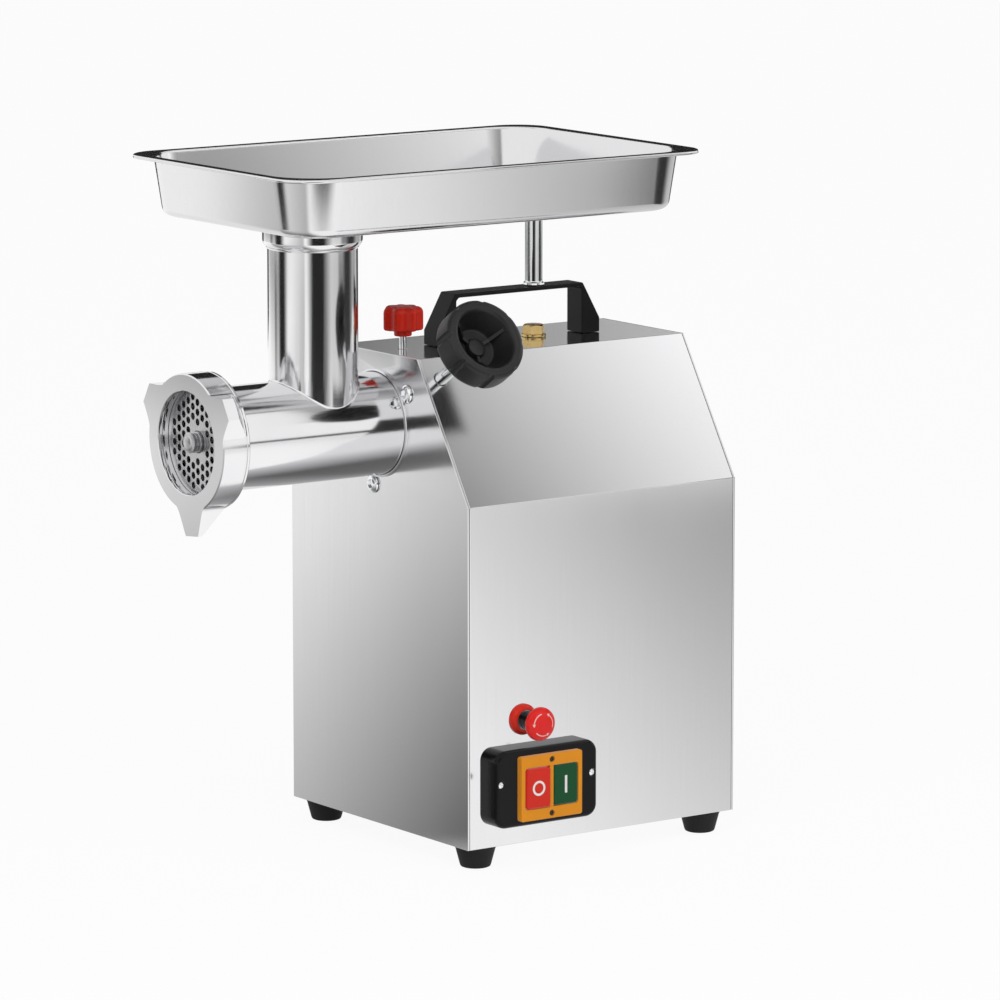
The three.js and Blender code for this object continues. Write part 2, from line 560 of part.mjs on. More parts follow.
// Four-bladed knife behind the plate.
const KNIFE = [plateBack + GAP, plateBack + 10];
let knife = turned(disc(13, ...KNIFE), [0, 0, AXIS_Z], Y, 20);
for (let i = 0; i < 4; i++) {
  const a = (i * Math.PI) / 2 + 0.35;
  const [c, s] = [Math.cos(a), Math.sin(a)];
  const blade = [[8, -6], [29, -4], [29, 4], [8, 4]];
  knife = knife.add(extrude(blade.map(([u, v]) => [u * c - v * s, AXIS_Z + u * s + v * c]),
    'y', KNIFE[0], KNIFE[1] - 2));
}
knife = knife.subtract(extrude(rect(0, AXIS_Z, KNIFE_SQ + 0.5, KNIFE_SQ + 0.5),
  'y', KNIFE[0] - 1, KNIFE[1] + 1));
knife = knife.subtract(turned(disc(STUD_R + GAP, KNIFE[0] - 1, KNIFE[1] + 1), [0, 0, AXIS_Z], Y, 20));
piece('knife', knife, STEEL);

// Hole plate: a triangular grid of round holes between the hub and the rim.
const plateHoles = [circle(0, AXIS_Z, STUD_R + 0.4, 20)];
for (let i = -6; i <= 6; i++) {
  for (let j = -6; j <= 6; j++) {
    const u = j * HOLE_PITCH * Math.sin(Math.PI / 3);
    const v = (i + j / 2) * HOLE_PITCH;
    const r = Math.hypot(u, v);
    if (r > 13 && r < 34) plateHoles.push(circle(u, AXIS_Z + v, HOLE_R, 6, 0.5));
  }
}
piece('hole_plate', extrude(circle(0, AXIS_Z, PLATE_R, 40), 'y', plateFront, plateBack, plateHoles), STEEL);

// Ring nut: stepped lip at the front, threaded skirt behind, three wedge lugs.
let nut = turned([[RING_OPEN_R, FACE_Y], [RING_R - 1.5, FACE_Y], [RING_R, FACE_Y + 1.5],
  [RING_R, FACE_Y + RING_L], [THREAD_R + GAP, FACE_Y + RING_L], [THREAD_R + GAP, plateFront - GAP],
  [RING_OPEN_R + 1.5, plateFront - GAP], [RING_OPEN_R + 1.5, FACE_Y + 3], [RING_OPEN_R, FACE_Y + 3],
  [RING_OPEN_R, FACE_Y]], [0, 0, AXIS_Z], Y, 48);
const lugCone = turned([[THREAD_R + 1, FACE_Y], [80, FACE_Y], [80, FACE_Y + 3], [RING_R + 2, FACE_Y + RING_L - 2],
  [THREAD_R + 1, FACE_Y + RING_L - 2], [THREAD_R + 1, FACE_Y]], [0, 0, AXIS_Z], Y, 48);
for (const [angle, reach, spread] of [[30, 60, 22], [150, 60, 22], [276, 66, 22]]) {
  const mid = THREE.MathUtils.degToRad(angle);
  const wide = THREE.MathUtils.degToRad(spread);
  const polar = (r, a) => [r * Math.cos(a), AXIS_Z + r * Math.sin(a)];
  const tip = 8 / reach;
  nut = nut.add(extrude([polar(THREAD_R - 2, mid - wide), polar(RING_R - 0.4, mid - wide),
    polar(reach, mid - tip), polar(reach, mid + tip), polar(RING_R - 0.4, mid + wide),
    polar(THREAD_R - 2, mid + wide)], 'y', FACE_Y, FACE_Y + RING_L).intersect(lugCone));
}
piece('ring_nut', nut, STAINLESS);

// ---- Tray ---------------------------------------------------------------------------------------
const trayMidY = (TRAY_Y0 + TRAY_Y1) / 2;
const trayW = 2 * (TRAY_X - TRAY_FLANGE);
const trayD = TRAY_Y1 - TRAY_Y0 - 2 * TRAY_FLANGE;
// Rounded block whose walls lean in towards the floor by a draft.
function drafted(inset, from, to) {
  const radius = TRAY_WALL_CORNER - inset;
  const outline = roundRect(0, 0, trayW - 2 * inset, trayD - 2 * inset, radius, 6);
  const shape = new THREE.Shape(outline.map(([u, v]) => new THREE.Vector2(u, v)));
  const geometry = new THREE.ExtrudeGeometry(shape, { depth: to - from, bevelEnabled: false });
  const at = geometry.attributes.position;
  const [cx, cy] = [trayW / 2 - TRAY_WALL_CORNER, trayD / 2 - TRAY_WALL_CORNER];
  for (let i = 0; i < at.count; i++) {
    const [x, y, z] = [at.getX(i), at.getY(i), from + at.getZ(i)];
    const [ox, oy] = [Math.sign(x) * cx, Math.sign(y) * cy];
    const draft = (TRAY_DRAFT * (TRAY_RIM_Z - z)) / (TRAY_RIM_Z - TRAY_FLOOR_Z);
    const k = (radius - draft) / radius;
    at.setXYZ(i, ox + (x - ox) * k, trayMidY + oy + (y - oy) * k, z);
  }
  return solid(geometry);
}
const rimOutline = (inset) => roundRect(0, trayMidY, 2 * (TRAY_X - inset),
  TRAY_Y1 - TRAY_Y0 - 2 * inset, TRAY_RIM_CORNER - inset, 6);
const SPOUT_R = THROAT_BORE_R - GAP;
const tray = drafted(0, TRAY_FLOOR_Z, TRAY_RIM_Z)
  .add(extrude(rimOutline(0), 'z', TRAY_RIM_Z - TRAY_SHEET, TRAY_RIM_Z))
  .add(extrude(rimOutline(0), 'z', TRAY_RIM_Z - TRAY_HEM, TRAY_RIM_Z, [rimOutline(1.4)]))
  .add(turned(disc(SPOUT_R, TRAY_FLOOR_Z - SPOUT_L, TRAY_FLOOR_Z + 0.5), [0, THROAT_Y, 0], Z, 32))
  .subtract(drafted(TRAY_SHEET, TRAY_FLOOR_Z + TRAY_SHEET, TRAY_RIM_Z + 1))
  .subtract(turned(disc(SPOUT_R - 1.5, TRAY_FLOOR_Z - SPOUT_L - 1, TRAY_FLOOR_Z + 5),
    [0, THROAT_Y, 0], Z, 32));
piece('tray', tray, STAINLESS);

// ---- Handle, tray post, oil plug ----------------------------------------------------------------
const handleFoot = TOP_Z + GAP;
const legMid = (HANDLE_IN + HANDLE_OUT) / 2;
let handle = extrude([[-HANDLE_OUT, handleFoot], [-HANDLE_OUT, handleFoot + HANDLE_HEEL],
  [-HANDLE_TOP_OUT, HANDLE_TOP_Z], [HANDLE_TOP_OUT, HANDLE_TOP_Z], [HANDLE_OUT, handleFoot + HANDLE_HEEL],
  [HANDLE_OUT, handleFoot], [HANDLE_IN, handleFoot], [HANDLE_IN, HANDLE_TOP_Z - HANDLE_BAR],
  [-HANDLE_IN, HANDLE_TOP_Z - HANDLE_BAR], [-HANDLE_IN, handleFoot]], 'x', -HANDLE_W / 2, HANDLE_W / 2);
for (const side of [-1, 1]) {
  handle = handle.add(turned(disc(3, TOP_Z - 6, TOP_Z + 2), [0, side * legMid, 0], Z, 12));
}
piece('handle', handle, BLACK);
piece('tray_post', turned([[0, HANDLE_TOP_Z + GAP], [POST_R + 1.5, HANDLE_TOP_Z + GAP],
  [POST_R + 1.2, HANDLE_TOP_Z + 1.5], [POST_R, HANDLE_TOP_Z + 3], [POST_R, TRAY_FLOOR_Z - GAP],
  [0, TRAY_FLOOR_Z - GAP]], [0, POST_Y, 0], Z, 24), CHROME);
piece('oil_plug', extrude(circle(0, OIL_Y, 8.2, 6, 0.2), 'z', TOP_Z + 2, TOP_Z + 9)
  .add(turned(disc(9, TOP_Z + GAP, TOP_Z + 2.2), [0, OIL_Y, 0], Z, 20))
  .add(turned(disc(6, TOP_Z - 9, TOP_Z + 1), [0, OIL_Y, 0], Z, 16)), BRASS);

// ---- Clamp screw and knob -----------------------------------------------------------------------
const knobFace = clampPanel + CLAMP_REACH;
const knobBack = knobFace - 39;
const stemEnd = knobFace - 20;
piece('clamp_stem', turned([[0, SPIGOT_R + RUN + GAP], [CLAMP_R - 1, SPIGOT_R + RUN + GAP],
  [CLAMP_R, SPIGOT_R + RUN + GAP + 1], [CLAMP_R, stemEnd], [0, stemEnd]],
  clampOrigin, clampAxis, 20), CHROME);
let knob = turned([[CLAMP_R + GAP, knobBack], [13, knobBack], [14, knobBack + 1], [14, knobFace - 24],
  [22, knobFace - 23], [KNOB_R - 1, knobFace - 21], [KNOB_R, knobFace - 18], [KNOB_R, knobFace - 4],
  [KNOB_R - 2.4, knobFace - 0.6], [25, knobFace], [22.5, knobFace - 1.5], [15, knobFace - 18],
  [7.5, knobFace - 18.5], [6.5, knobFace - 15], [0, knobFace - 14], [0, stemEnd + GAP],
  [CLAMP_R + GAP, stemEnd + GAP], [CLAMP_R + GAP, knobBack]], clampOrigin, clampAxis, 32);
const knobTurn = new THREE.Quaternion().setFromUnitVectors(
  new THREE.Vector3(0, 1, 0), new THREE.Vector3(...clampAxis));
for (let i = 0; i < 8; i++) {
  const a = (i * Math.PI) / 4;
  const shift = new THREE.Vector3(Math.cos(a), 0, Math.sin(a)).applyQuaternion(knobTurn);
  const centre = clampOrigin.map((value, k) => value + shift.getComponent(k) * (KNOB_R + 1.2));
  knob = knob.subtract(turned(disc(3.4, knobFace - 26, knobFace + 2), centre, clampAxis, 8));
}
piece('clamp_knob', knob, BLACK);

// ---- Lock pin and knob --------------------------------------------------------------------------
const LOCK_KNOB_Z = TOP_Z + 9.6;
const LOCK_TOP = TOP_Z + 31;
piece('lock_stem', turned([[0, AXIS_Z + SPIGOT_R + 1], [LOCK_R - 0.8, AXIS_Z + SPIGOT_R + 1],
  [LOCK_R, AXIS_Z + SPIGOT_R + 2], [LOCK_R, LOCK_TOP - 6], [0, LOCK_TOP - 6]],
  [0, LOCK_Y, 0], Z, 16), CHROME);
const lobes = Array.from({ length: 42 }, (_, i) => {
  const a = (i * 2 * Math.PI) / 42;
  const r = 13.4 + 1.25 * Math.cos(7 * a);
  return [r * Math.cos(a), LOCK_Y + r * Math.sin(a)];
});
piece('lock_knob', extrude(lobes, 'z', LOCK_KNOB_Z + 4, LOCK_TOP)
  .add(turned(disc(6.4, LOCK_KNOB_Z, LOCK_KNOB_Z + 5), [0, LOCK_Y, 0], Z, 20))
  .subtract(turned(disc(LOCK_R + GAP, LOCK_KNOB_Z - 1, LOCK_TOP - 6 + GAP), [0, LOCK_Y, 0], Z, 16)), RED);

// ---- Switch box ---------------------------------------------------------------------------------
const boxBack = halfW + GAP;
const boxFront = boxBack + BOX_X;
const bezelBack = boxFront + GAP;
const bezelFront = bezelBack + BEZEL_X;
const WINDOW_Y = 2 * BUTTON_STEP + BUTTON_Y + 2 * GAP;
const WINDOW_Z = BUTTON_Z + 2 * GAP;
const boxScrews = [[SWITCH_Y - 40, SWITCH_Z + 4], [SWITCH_Y + 40, SWITCH_Z + 4]];
const bezelScrews = [[SWITCH_Y, SWITCH_Z + 20], [SWITCH_Y, SWITCH_Z - 20]];
let box = extrude(roundRect(SWITCH_Y, SWITCH_Z, BOX_Y, BOX_Z, 9), 'x', boxBack, boxFront,
  [roundRect(SWITCH_Y, SWITCH_Z, WINDOW_Y + 1, WINDOW_Z + 1, 2, 2)])
  .subtract(extrude(roundRect(SWITCH_Y, SWITCH_Z, 66, BOX_Z - 8, 6), 'x', boxBack - 1, boxFront - 3));
for (const [y, z] of boxScrews) {
  box = box.subtract(turned(disc(3.6, boxFront - 3, boxFront + 1), [0, y, z], X, 12));
}
for (const [y, z] of bezelScrews) {
  box = box.subtract(turned(disc(1.3, boxFront - 5, boxFront + 1), [0, y, z], X, 8));
}
piece('switch_box', box, BLACK);
boxScrews.forEach(([y, z], i) => piece(`box_screw_${i + 1}`, turned(
  [[0, boxFront - 3 + GAP], [3.2, boxFront - 3 + GAP], [3.2, boxFront - 1.6], [2.4, boxFront - 0.8],
    [0, boxFront - 0.8]], [0, y, z], X, 12), CHROME));

let bezel = extrude(roundRect(SWITCH_Y, SWITCH_Z, BEZEL_Y, BEZEL_Z, 4.5), 'x', bezelBack, bezelFront,
  [roundRect(SWITCH_Y, SWITCH_Z, WINDOW_Y, WINDOW_Z, 2.5, 3)]);
bezel = bezel.add(extrude(rect(SWITCH_Y, SWITCH_Z, 2 * BUTTON_STEP - BUTTON_Y - 2 * GAP, WINDOW_Z + 2),
  'x', bezelBack, bezelFront - 0.5));
for (const [y, z] of bezelScrews) {
  bezel = bezel.subtract(turned(disc(2.2, bezelFront - 1.2, bezelFront + 1), [0, y, z], X, 12))
    .subtract(turned(disc(1.3, bezelBack - 1, bezelFront), [0, y, z], X, 8));
}
piece('switch_bezel', bezel, ORANGE);
bezelScrews.forEach(([y, z], i) => piece(`bezel_screw_${i + 1}`, turned(
  [[0, boxFront - 4], [1, boxFront - 4], [1, bezelFront - 1.2 + GAP], [1.9, bezelFront - 1.2 + GAP],
    [1.9, bezelFront - 0.3], [0, bezelFront - 0.3]], [0, y, z], X, 12), CHROME));

// Push buttons: the stop button stands proud of the bezel, the start button sits lower.
const blockFront = boxFront - 9;
for (const [name, side, proud, look] of [['stop_button', -1, 1.4, RED], ['start_button', 1, 0.2, GREEN]]) {
  const y = SWITCH_Y + side * BUTTON_STEP;
  piece(name, extrude(roundRect(y, SWITCH_Z, BUTTON_Y, BUTTON_Z, 2.2, 3), 'x',
    blockFront + BUTTON_TRAVEL + 1, bezelFront + proud), look);
}
piece('switch_block', extrude(
  rect(SWITCH_Y, SWITCH_Z, CUTOUT_Y - 2 * GAP, CUTOUT_Z - 2 * GAP), 'x', 84, blockFront), CREAM);

// ---- Emergency stop -----------------------------------------------------------------------------
const estopFace = halfW + ESTOP_REACH;
const ESTOP_TRAVEL = 4;
const neckBack = 100;
const estopBack = neckBack - ESTOP_TRAVEL - 1;
piece('estop_collar', turned([[7 + GAP, estopBack + GAP], [8.5, estopBack + GAP], [8.5, halfW + GAP], [11.2, halfW + GAP],
  [11.2, halfW + 4], [9, halfW + 6.5], [7 + GAP, halfW + 6.5], [7 + GAP, estopBack + GAP]],
  [0, ESTOP_Y, ESTOP_Z], X, 20), RED);
piece('estop_neck', turned([[0, neckBack], [7, neckBack], [7, estopFace - 7.5], [0, estopFace - 7.5]],
  [0, ESTOP_Y, ESTOP_Z], X, 24), BLACK);
piece('estop_head', turned([[0, estopFace - 7.5 + GAP], [7.6, estopFace - 7.5 + GAP],
  [ESTOP_R, estopFace - 7], [ESTOP_R, estopFace - 4], [ESTOP_R - 1, estopFace - 1.8],
  [8, estopFace - 0.4], [0, estopFace]], [0, ESTOP_Y, ESTOP_Z], X, 20), RED);
piece('estop_block', extrude(rect(ESTOP_Y, ESTOP_Z, 28, 22), 'x', 76, estopBack), CREAM);

// ---- Origin: on the floor, under the middle of the outline ---------------------------------------
const bounds = new THREE.Box3().setFromObject(group);
const middle = bounds.getCenter(new THREE.Vector3());
for (const mesh of group.children) mesh.geometry.translate(-middle.x, -middle.y, -bounds.min.z);

export default group;
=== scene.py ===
import math
import bmesh
import bpy
from mathutils import Matrix, Vector


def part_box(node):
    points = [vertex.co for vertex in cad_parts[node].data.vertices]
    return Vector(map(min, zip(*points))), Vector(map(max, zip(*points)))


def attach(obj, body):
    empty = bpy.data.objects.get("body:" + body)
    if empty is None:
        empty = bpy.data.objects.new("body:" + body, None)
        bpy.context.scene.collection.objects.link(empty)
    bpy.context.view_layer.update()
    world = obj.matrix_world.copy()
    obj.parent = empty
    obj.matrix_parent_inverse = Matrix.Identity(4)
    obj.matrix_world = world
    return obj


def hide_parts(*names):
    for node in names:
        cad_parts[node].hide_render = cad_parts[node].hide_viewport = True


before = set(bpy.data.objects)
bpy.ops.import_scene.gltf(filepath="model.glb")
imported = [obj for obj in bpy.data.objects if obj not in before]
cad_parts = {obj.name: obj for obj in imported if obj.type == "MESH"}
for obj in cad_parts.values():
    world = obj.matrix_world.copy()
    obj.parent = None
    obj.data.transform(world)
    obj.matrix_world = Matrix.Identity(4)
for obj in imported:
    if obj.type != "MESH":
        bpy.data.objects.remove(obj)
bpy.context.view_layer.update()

# ---- Camera -------------------------------------------------------------------------------------
# A long lens, a little above the machine, looking at its outlet end and its switch side. Every piece
# below is drawn in millimetres about the middle of the casing, so the camera stands there too.
MM = 0.001
low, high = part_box("casing_wrap")
CENTRE = Vector(((low[0] + high[0]) / 2, (low[1] + high[1]) / 2, 0.0))
turn, tilt = math.radians(54.673), math.radians(9.485)
ahead = Vector((-math.sin(turn) * math.cos(tilt), math.cos(turn) * math.cos(tilt), -math.sin(tilt)))
right = Vector((math.cos(turn), math.sin(turn), 0.0))
up = right.cross(ahead)
camera = bpy.data.objects.new("camera", bpy.data.cameras.new("camera"))
camera.data.sensor_width = 36.0
camera.data.lens = 216.40
camera.data.clip_end = 60.0
camera.matrix_world = Matrix.Translation(CENTRE + Vector((3512.529, -2500.422, 961.578)) * MM) @ \
    Matrix((right, up, -ahead)).transposed().to_4x4()
bpy.context.collection.objects.link(camera)
bpy.context.scene.camera = camera

# ---- Casing -------------------------------------------------------------------------------------
# Bright stainless sheet, 1.5 mm thick. One long strip is folded over the top for the sides, slants
# and lid, and a flat panel is welded in at each end, its edges ground to a fine bright line.


class Wire:
    """A value carried between shader nodes. Arithmetic on it adds Math nodes."""

    def __init__(self, finish, socket):
        self.finish, self.socket = finish, socket

    def math(self, operation, *values):
        return self.finish.node("ShaderNodeMath", {"operation": operation}, *values)

    def __add__(self, other):
        return self.math("ADD", self, other)

    def __sub__(self, other):
        return self.math("SUBTRACT", self, other)

    def __rsub__(self, other):
        return self.math("SUBTRACT", other, self)

    def __mul__(self, other):
        return self.math("MULTIPLY", self, other)

    def __truediv__(self, other):
        return self.math("DIVIDE", self, other)

    def __pow__(self, other):
        return self.math("POWER", self, other)

    def __gt__(self, other):
        return self.math("GREATER_THAN", self, other)

    __radd__, __rmul__ = __add__, __mul__

    def clamped(self, least=0.0, most=1.0):
        return self.math("MINIMUM", self.math("MAXIMUM", self, least), most)


class Finish:
    """A surface being mixed: one Principled shader, with what varies over it wired in."""

    def __init__(self, name, colour=None, roughness=0.5, metallic=0.0, tree=None, **steady):
        if tree is None:
            self.material = bpy.data.materials.new(name)
            self.material.use_nodes = True
            tree = self.material.node_tree
            self.shader = tree.nodes["Principled BSDF"]
            self.shader.inputs["Base Color"].default_value = (*colour, 1.0)
            self.shader.inputs["Roughness"].default_value = roughness
            self.shader.inputs["Metallic"].default_value = metallic
            for socket, value in steady.items():
                self.shader.inputs[socket.replace("_", " ")].default_value = value
        self.tree = tree

    def node(self, kind, settings=None, *values, out=0, **named):
        """Adds any node: its settings first, then its inputs, by place or by name."""
        made = self.tree.nodes.new(kind)
        for key, value in (settings or {}).items():
            setattr(made, key, value)
        for key, value in [*enumerate(values), *named.items()]:
            socket = made.inputs[key.replace("_", " ") if isinstance(key, str) else key]
            if isinstance(value, Wire):
                self.tree.links.new(value.socket, socket)
            else:
                socket.default_value = value
        return Wire(self, made.outputs[out])

    def place(self, stretch=(1.0, 1.0, 1.0), rotation=(0.0, 0.0, 0.0), origin=(0.0, 0.0, 0.0)):
        """Object coordinates, moved to an origin, turned and stretched for a pattern."""
        spot = self.node("ShaderNodeTexCoord", out="Object")
        spot = self.node("ShaderNodeVectorMath", {"operation": "SUBTRACT"}, spot, origin)
        return self.node("ShaderNodeMapping", {"vector_type": "POINT"}, Vector=spot,
                         Rotation=rotation, Scale=stretch)

    def noise(self, scale, detail=3.0, stretch=(1.0, 1.0, 1.0), **placing):
        return self.node("ShaderNodeTexNoise", None, Vector=self.place(stretch, **placing),
                         Scale=scale, Detail=detail)

    def tint(self, amount, light, dark):
        """Mixes two colours by a wire and paints the surface with the result."""
        mix = self.tree.nodes.new("ShaderNodeMix")
        mix.data_type = "RGBA"
        self.tree.links.new(amount.socket, mix.inputs[0])
        mix.inputs[6].default_value = (*light, 1.0)
        mix.inputs[7].default_value = (*dark, 1.0)
        self.tree.links.new(mix.outputs[2], self.shader.inputs["Base Color"])

    def feed(self, socket, wire):
        self.tree.links.new(wire.socket, self.shader.inputs[socket])

    def bump(self, height, distance, strength=1.0):
        self.feed("Normal", self.node("ShaderNodeBump", None, Strength=strength,
                                      Distance=distance * MM, Height=height))


def rolled_sheet(name, grain, roughness, colour, depth=0.02):
    """Stainless sheet: a fine grain along one axis, faint mill clouding, a few wipe marks."""
    finish = Finish(name, colour, metallic=1.0)
    lines = finish.noise(900.0, 2.0, grain)
    cloud = finish.noise(7.0, 3.0)
    wipe = finish.noise(26.0, 4.0, (1.0, 1.0, 0.35))
    finish.feed("Roughness", roughness + 0.05 * (lines - 0.5) + 0.06 * (cloud - 0.5)
                + 0.05 * (wipe - 0.5))
    finish.tint((cloud * 0.5 + lines * 0.5).clamped(), colour, [0.93 * c for c in colour])
    finish.bump(lines, depth, 0.25)
    return finish.material


sheet_steel = rolled_sheet("rolled_sheet", (1.0, 1.0, 0.02), 0.14, (0.80, 0.80, 0.81))


def spun(bm, profile, at, axis, steps=72, closed=False):
    """Spins (radius, distance) pairs about an axis through a point; returns the new corners."""
    before = set(bm.verts)
    axis = Vector(axis).normalized()
    side = axis.orthogonal().normalized()
    corners = [bm.verts.new(Vector(at) + axis * t + side * r) for r, t in profile]
    edges = [bm.edges.new(pair) for pair in zip(corners, corners[1:])]
    if closed:
        edges.append(bm.edges.new((corners[-1], corners[0])))
    bmesh.ops.spin(bm, geom=corners + edges, cent=at, axis=axis, dvec=(0, 0, 0),
                   angle=2 * math.pi, steps=steps, use_merge=True, use_duplicate=False)
    return [v for v in bm.verts if v not in before]


def tidy(bm):
    """Welds corners that coincide and turns every face outwards."""
    bmesh.ops.remove_doubles(bm, verts=bm.verts, dist=0.002)
    bmesh.ops.dissolve_degenerate(bm, dist=0.0005, edges=bm.edges)
    bmesh.ops.recalc_face_normals(bm, faces=bm.faces)


def carve(body, tool, how="DIFFERENCE"):
    """Cuts one closed shape with another, or joins the two, and returns the new shape."""
    pair = []
    for bm in (body, tool):
        tidy(bm)
        blank = bpy.data.meshes.new("blank")
        bm.to_mesh(blank)
        bm.free()
        pair.append(bpy.data.objects.new("blank", blank))
        bpy.context.collection.objects.link(pair[-1])
    step = pair[0].modifiers.new("carve", "BOOLEAN")
    step.operation, step.solver, step.object = how, "EXACT", pair[1]
    depsgraph = bpy.context.evaluated_depsgraph_get()
    shaped = bpy.data.meshes.new_from_object(pair[0].evaluated_get(depsgraph))
    result = bmesh.new()
    result.from_mesh(shaped)
    for blank in pair:
        bpy.data.objects.remove(blank)
    bpy.data.meshes.remove(shaped)
    return result


def outline(bm, points, place):
    """A closed loop of edges through flat points, put in space by a function."""
    corners = [bm.verts.new(place(u, v)) for u, v in points]
    return [bm.edges.new(pair) for pair in zip(corners, corners[1:] + corners[:1])]


def slab(bm, loops, place, push):
    """A flat plate with holes: fills the first loop, less the others, and pushes it solid."""
    edges = [edge for points in loops for edge in outline(bm, points, place)]
    made = bmesh.ops.triangle_fill(bm, use_beauty=True, use_dissolve=False, edges=edges)
    faces = [g for g in made["geom"] if isinstance(g, bmesh.types.BMFace)]
    grown = bmesh.ops.extrude_face_region(bm, geom=faces, use_keep_orig=True)
    moved = [g for g in grown["geom"] if isinstance(g, bmesh.types.BMVert)]
    bmesh.ops.translate(bm, vec=push, verts=moved)


def ring_points(u, v, radius, count, phase=0.0):
    return [(u + radius * math.cos(phase + i * 2 * math.pi / count),
             v + radius * math.sin(phase + i * 2 * math.pi / count)) for i in range(count)]


def soft_rect(u, v, width, height, radius, count=8):
    points = []
    for sx, sy, start in ((1, -1, -90), (1, 1, 0), (-1, 1, 90), (-1, -1, 180)):
        for i in range(count + 1):
            a = math.radians(start + 90 * i / count)
            points.append((u + sx * (width / 2 - radius) + radius * math.cos(a),
                           v + sy * (height / 2 - radius) + radius * math.sin(a)))
    return points


def keep(bm, name, body, finish, stands_for=(), rounding=0.0, segments=2, crease=38, thin=False):
    """Makes a finished piece of a shape drawn in millimetres about the casing's middle."""
    tidy(bm)
    bmesh.ops.scale(bm, vec=(MM, MM, MM), verts=bm.verts)
    bmesh.ops.translate(bm, vec=CENTRE, verts=bm.verts)
    mesh = bpy.data.meshes.new(name)
    bm.to_mesh(mesh)
    bm.free()
    mesh.materials.append(finish)
    mesh.shade_smooth()
    piece = bpy.data.objects.new(name, mesh)
    bpy.context.collection.objects.link(piece)
    if rounding:
        soft = piece.modifiers.new("rounding", "BEVEL")
        soft.width, soft.segments = rounding * MM, segments
        soft.limit_method, soft.angle_limit, soft.loop_slide = "ANGLE", math.radians(crease), False
    else:
        mesh.set_sharp_from_angle(angle=math.radians(crease))
    if not thin:
        level = piece.modifiers.new("flats", "WEIGHTED_NORMAL")
        level.weight, level.keep_sharp = 80, True
    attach(piece, body)
    if stands_for:
        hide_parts(*stands_for)
    return piece


FOOT_H, HALF_W, HALF_D, SHEET = 16.0, 112.0, 118.0, 1.5
GAP = 0.3  # the clearance between pieces that seat on each other
SHOULDER_Z, TOP_Z, HALF_TOP = FOOT_H + 245.6, FOOT_H + 344.0, 49.75
AXIS_Z = FOOT_H + 292.5
MOTOR_Z = 225.416
slope = Vector((TOP_Z - SHOULDER_Z, HALF_W - HALF_TOP)).normalized()
slope_at = slope.x * HALF_W + slope.y * SHOULDER_Z
CLAMP_AXIS = Vector((slope.x, 0.0, slope.y))
CLAMP_AT = Vector((0.0, -104.0, AXIS_Z))
LOCK_Y, OIL_Y, ESTOP_Y, ESTOP_Z = -96.0, 19.0, -72.0, FOOT_H + 90.3
CLAMP_HOLE_R, LOCK_HOLE_R, ESTOP_HOLE_R, NOSE_HOLE_R = 5.1, 3.6, 8.8, 38.1


def body_half(inset):
    """The right half of the casing's section, moved in by an inset."""
    level, x, z = slope_at - inset, HALF_W - inset, TOP_Z - inset
    return [(x, FOOT_H), (x, (level - slope.x * x) / slope.y), ((level - slope.y * z) / slope.x, z)]


def mirrored(half):
    return half + [(-u, v) for u, v in reversed(half)]


wrap_end = HALF_D - SHEET - GAP
wrap = bmesh.new()
slab(wrap, [mirrored(body_half(0.0)) + mirrored(body_half(SHEET))[::-1]],
     lambda u, v: Vector((u, -wrap_end, v)), (0, 2 * wrap_end, 0))
holes = bmesh.new()
clamp_panel = slope_at - slope.y * AXIS_Z
spun(holes, [(0, clamp_panel - 6), (CLAMP_HOLE_R, clamp_panel - 6), (CLAMP_HOLE_R, clamp_panel + 6),
             (0, clamp_panel + 6)],
     CLAMP_AT, CLAMP_AXIS, 40)
spun(holes, [(0, TOP_Z - 5), (LOCK_HOLE_R, TOP_Z - 5), (LOCK_HOLE_R, TOP_Z + 5), (0, TOP_Z + 5)],
     (0, LOCK_Y, 0), (0, 0, 1), 32)
spun(holes, [(0, HALF_W - 5), (ESTOP_HOLE_R, HALF_W - 5), (ESTOP_HOLE_R, HALF_W + 5), (0, HALF_W + 5)],
     (0, ESTOP_Y, ESTOP_Z), (1, 0, 0), 32)
keep(carve(wrap, holes), "casing_sheet", "machine", sheet_steel, ["casing_wrap"], 0.5, crease=25)

end_outline = mirrored(body_half(0.0))
front = bmesh.new()
slab(front, [end_outline, ring_points(0, AXIS_Z, NOSE_HOLE_R, 96)],
     lambda u, v: Vector((u, -HALF_D, v)), (0, SHEET, 0))
keep(front, "front_sheet", "machine", sheet_steel, ["front_panel"], 0.45, crease=25)
trim = bmesh.new()
spun(trim, [(37.2, -119.1), (37.2, -119.5), (37.6, -119.9), (38.4, -119.9), (38.9, -119.5), (38.9, -118.05),
            (37.95, -118.05), (37.95, -119.1)], (0, 0, AXIS_Z), (0, 1, 0), 96, closed=True)
keep(trim, "hole_trim", "machine", sheet_steel, crease=40)
rear = bmesh.new()
slots = [soft_rect(side * 38, MOTOR_Z - 35 + row * 14, 52, 5, 2.4, 6) for side in (-1, 1) for row in range(6)]
slab(rear, [end_outline, *slots, ring_points(-70, FOOT_H + 40, 8.3, 40)],
     lambda u, v: Vector((u, HALF_D - SHEET, v)), (0, SHEET, 0))
keep(rear, "rear_sheet", "machine", sheet_steel, ["rear_panel"], 0.4, crease=25)

# ---- Base and feet ------------------------------------------------------------------------------
# The bottom plate is plain galvanised steel. Under it stand four tapered feet moulded in black
# rubber, each held by a screw that is sunk in its sole.
base_zinc = Finish("zinc_plate", (0.55, 0.56, 0.58), metallic=1.0)
spangle = base_zinc.node("ShaderNodeTexVoronoi", None, Vector=base_zinc.place(), Scale=70.0, out="Color")
base_zinc.feed("Roughness", 0.38 + 0.1 * base_zinc.noise(90.0))
base_zinc.tint(base_zinc.node("ShaderNodeSeparateColor", None, spangle), (0.60, 0.61, 0.63),
               (0.47, 0.48, 0.50))


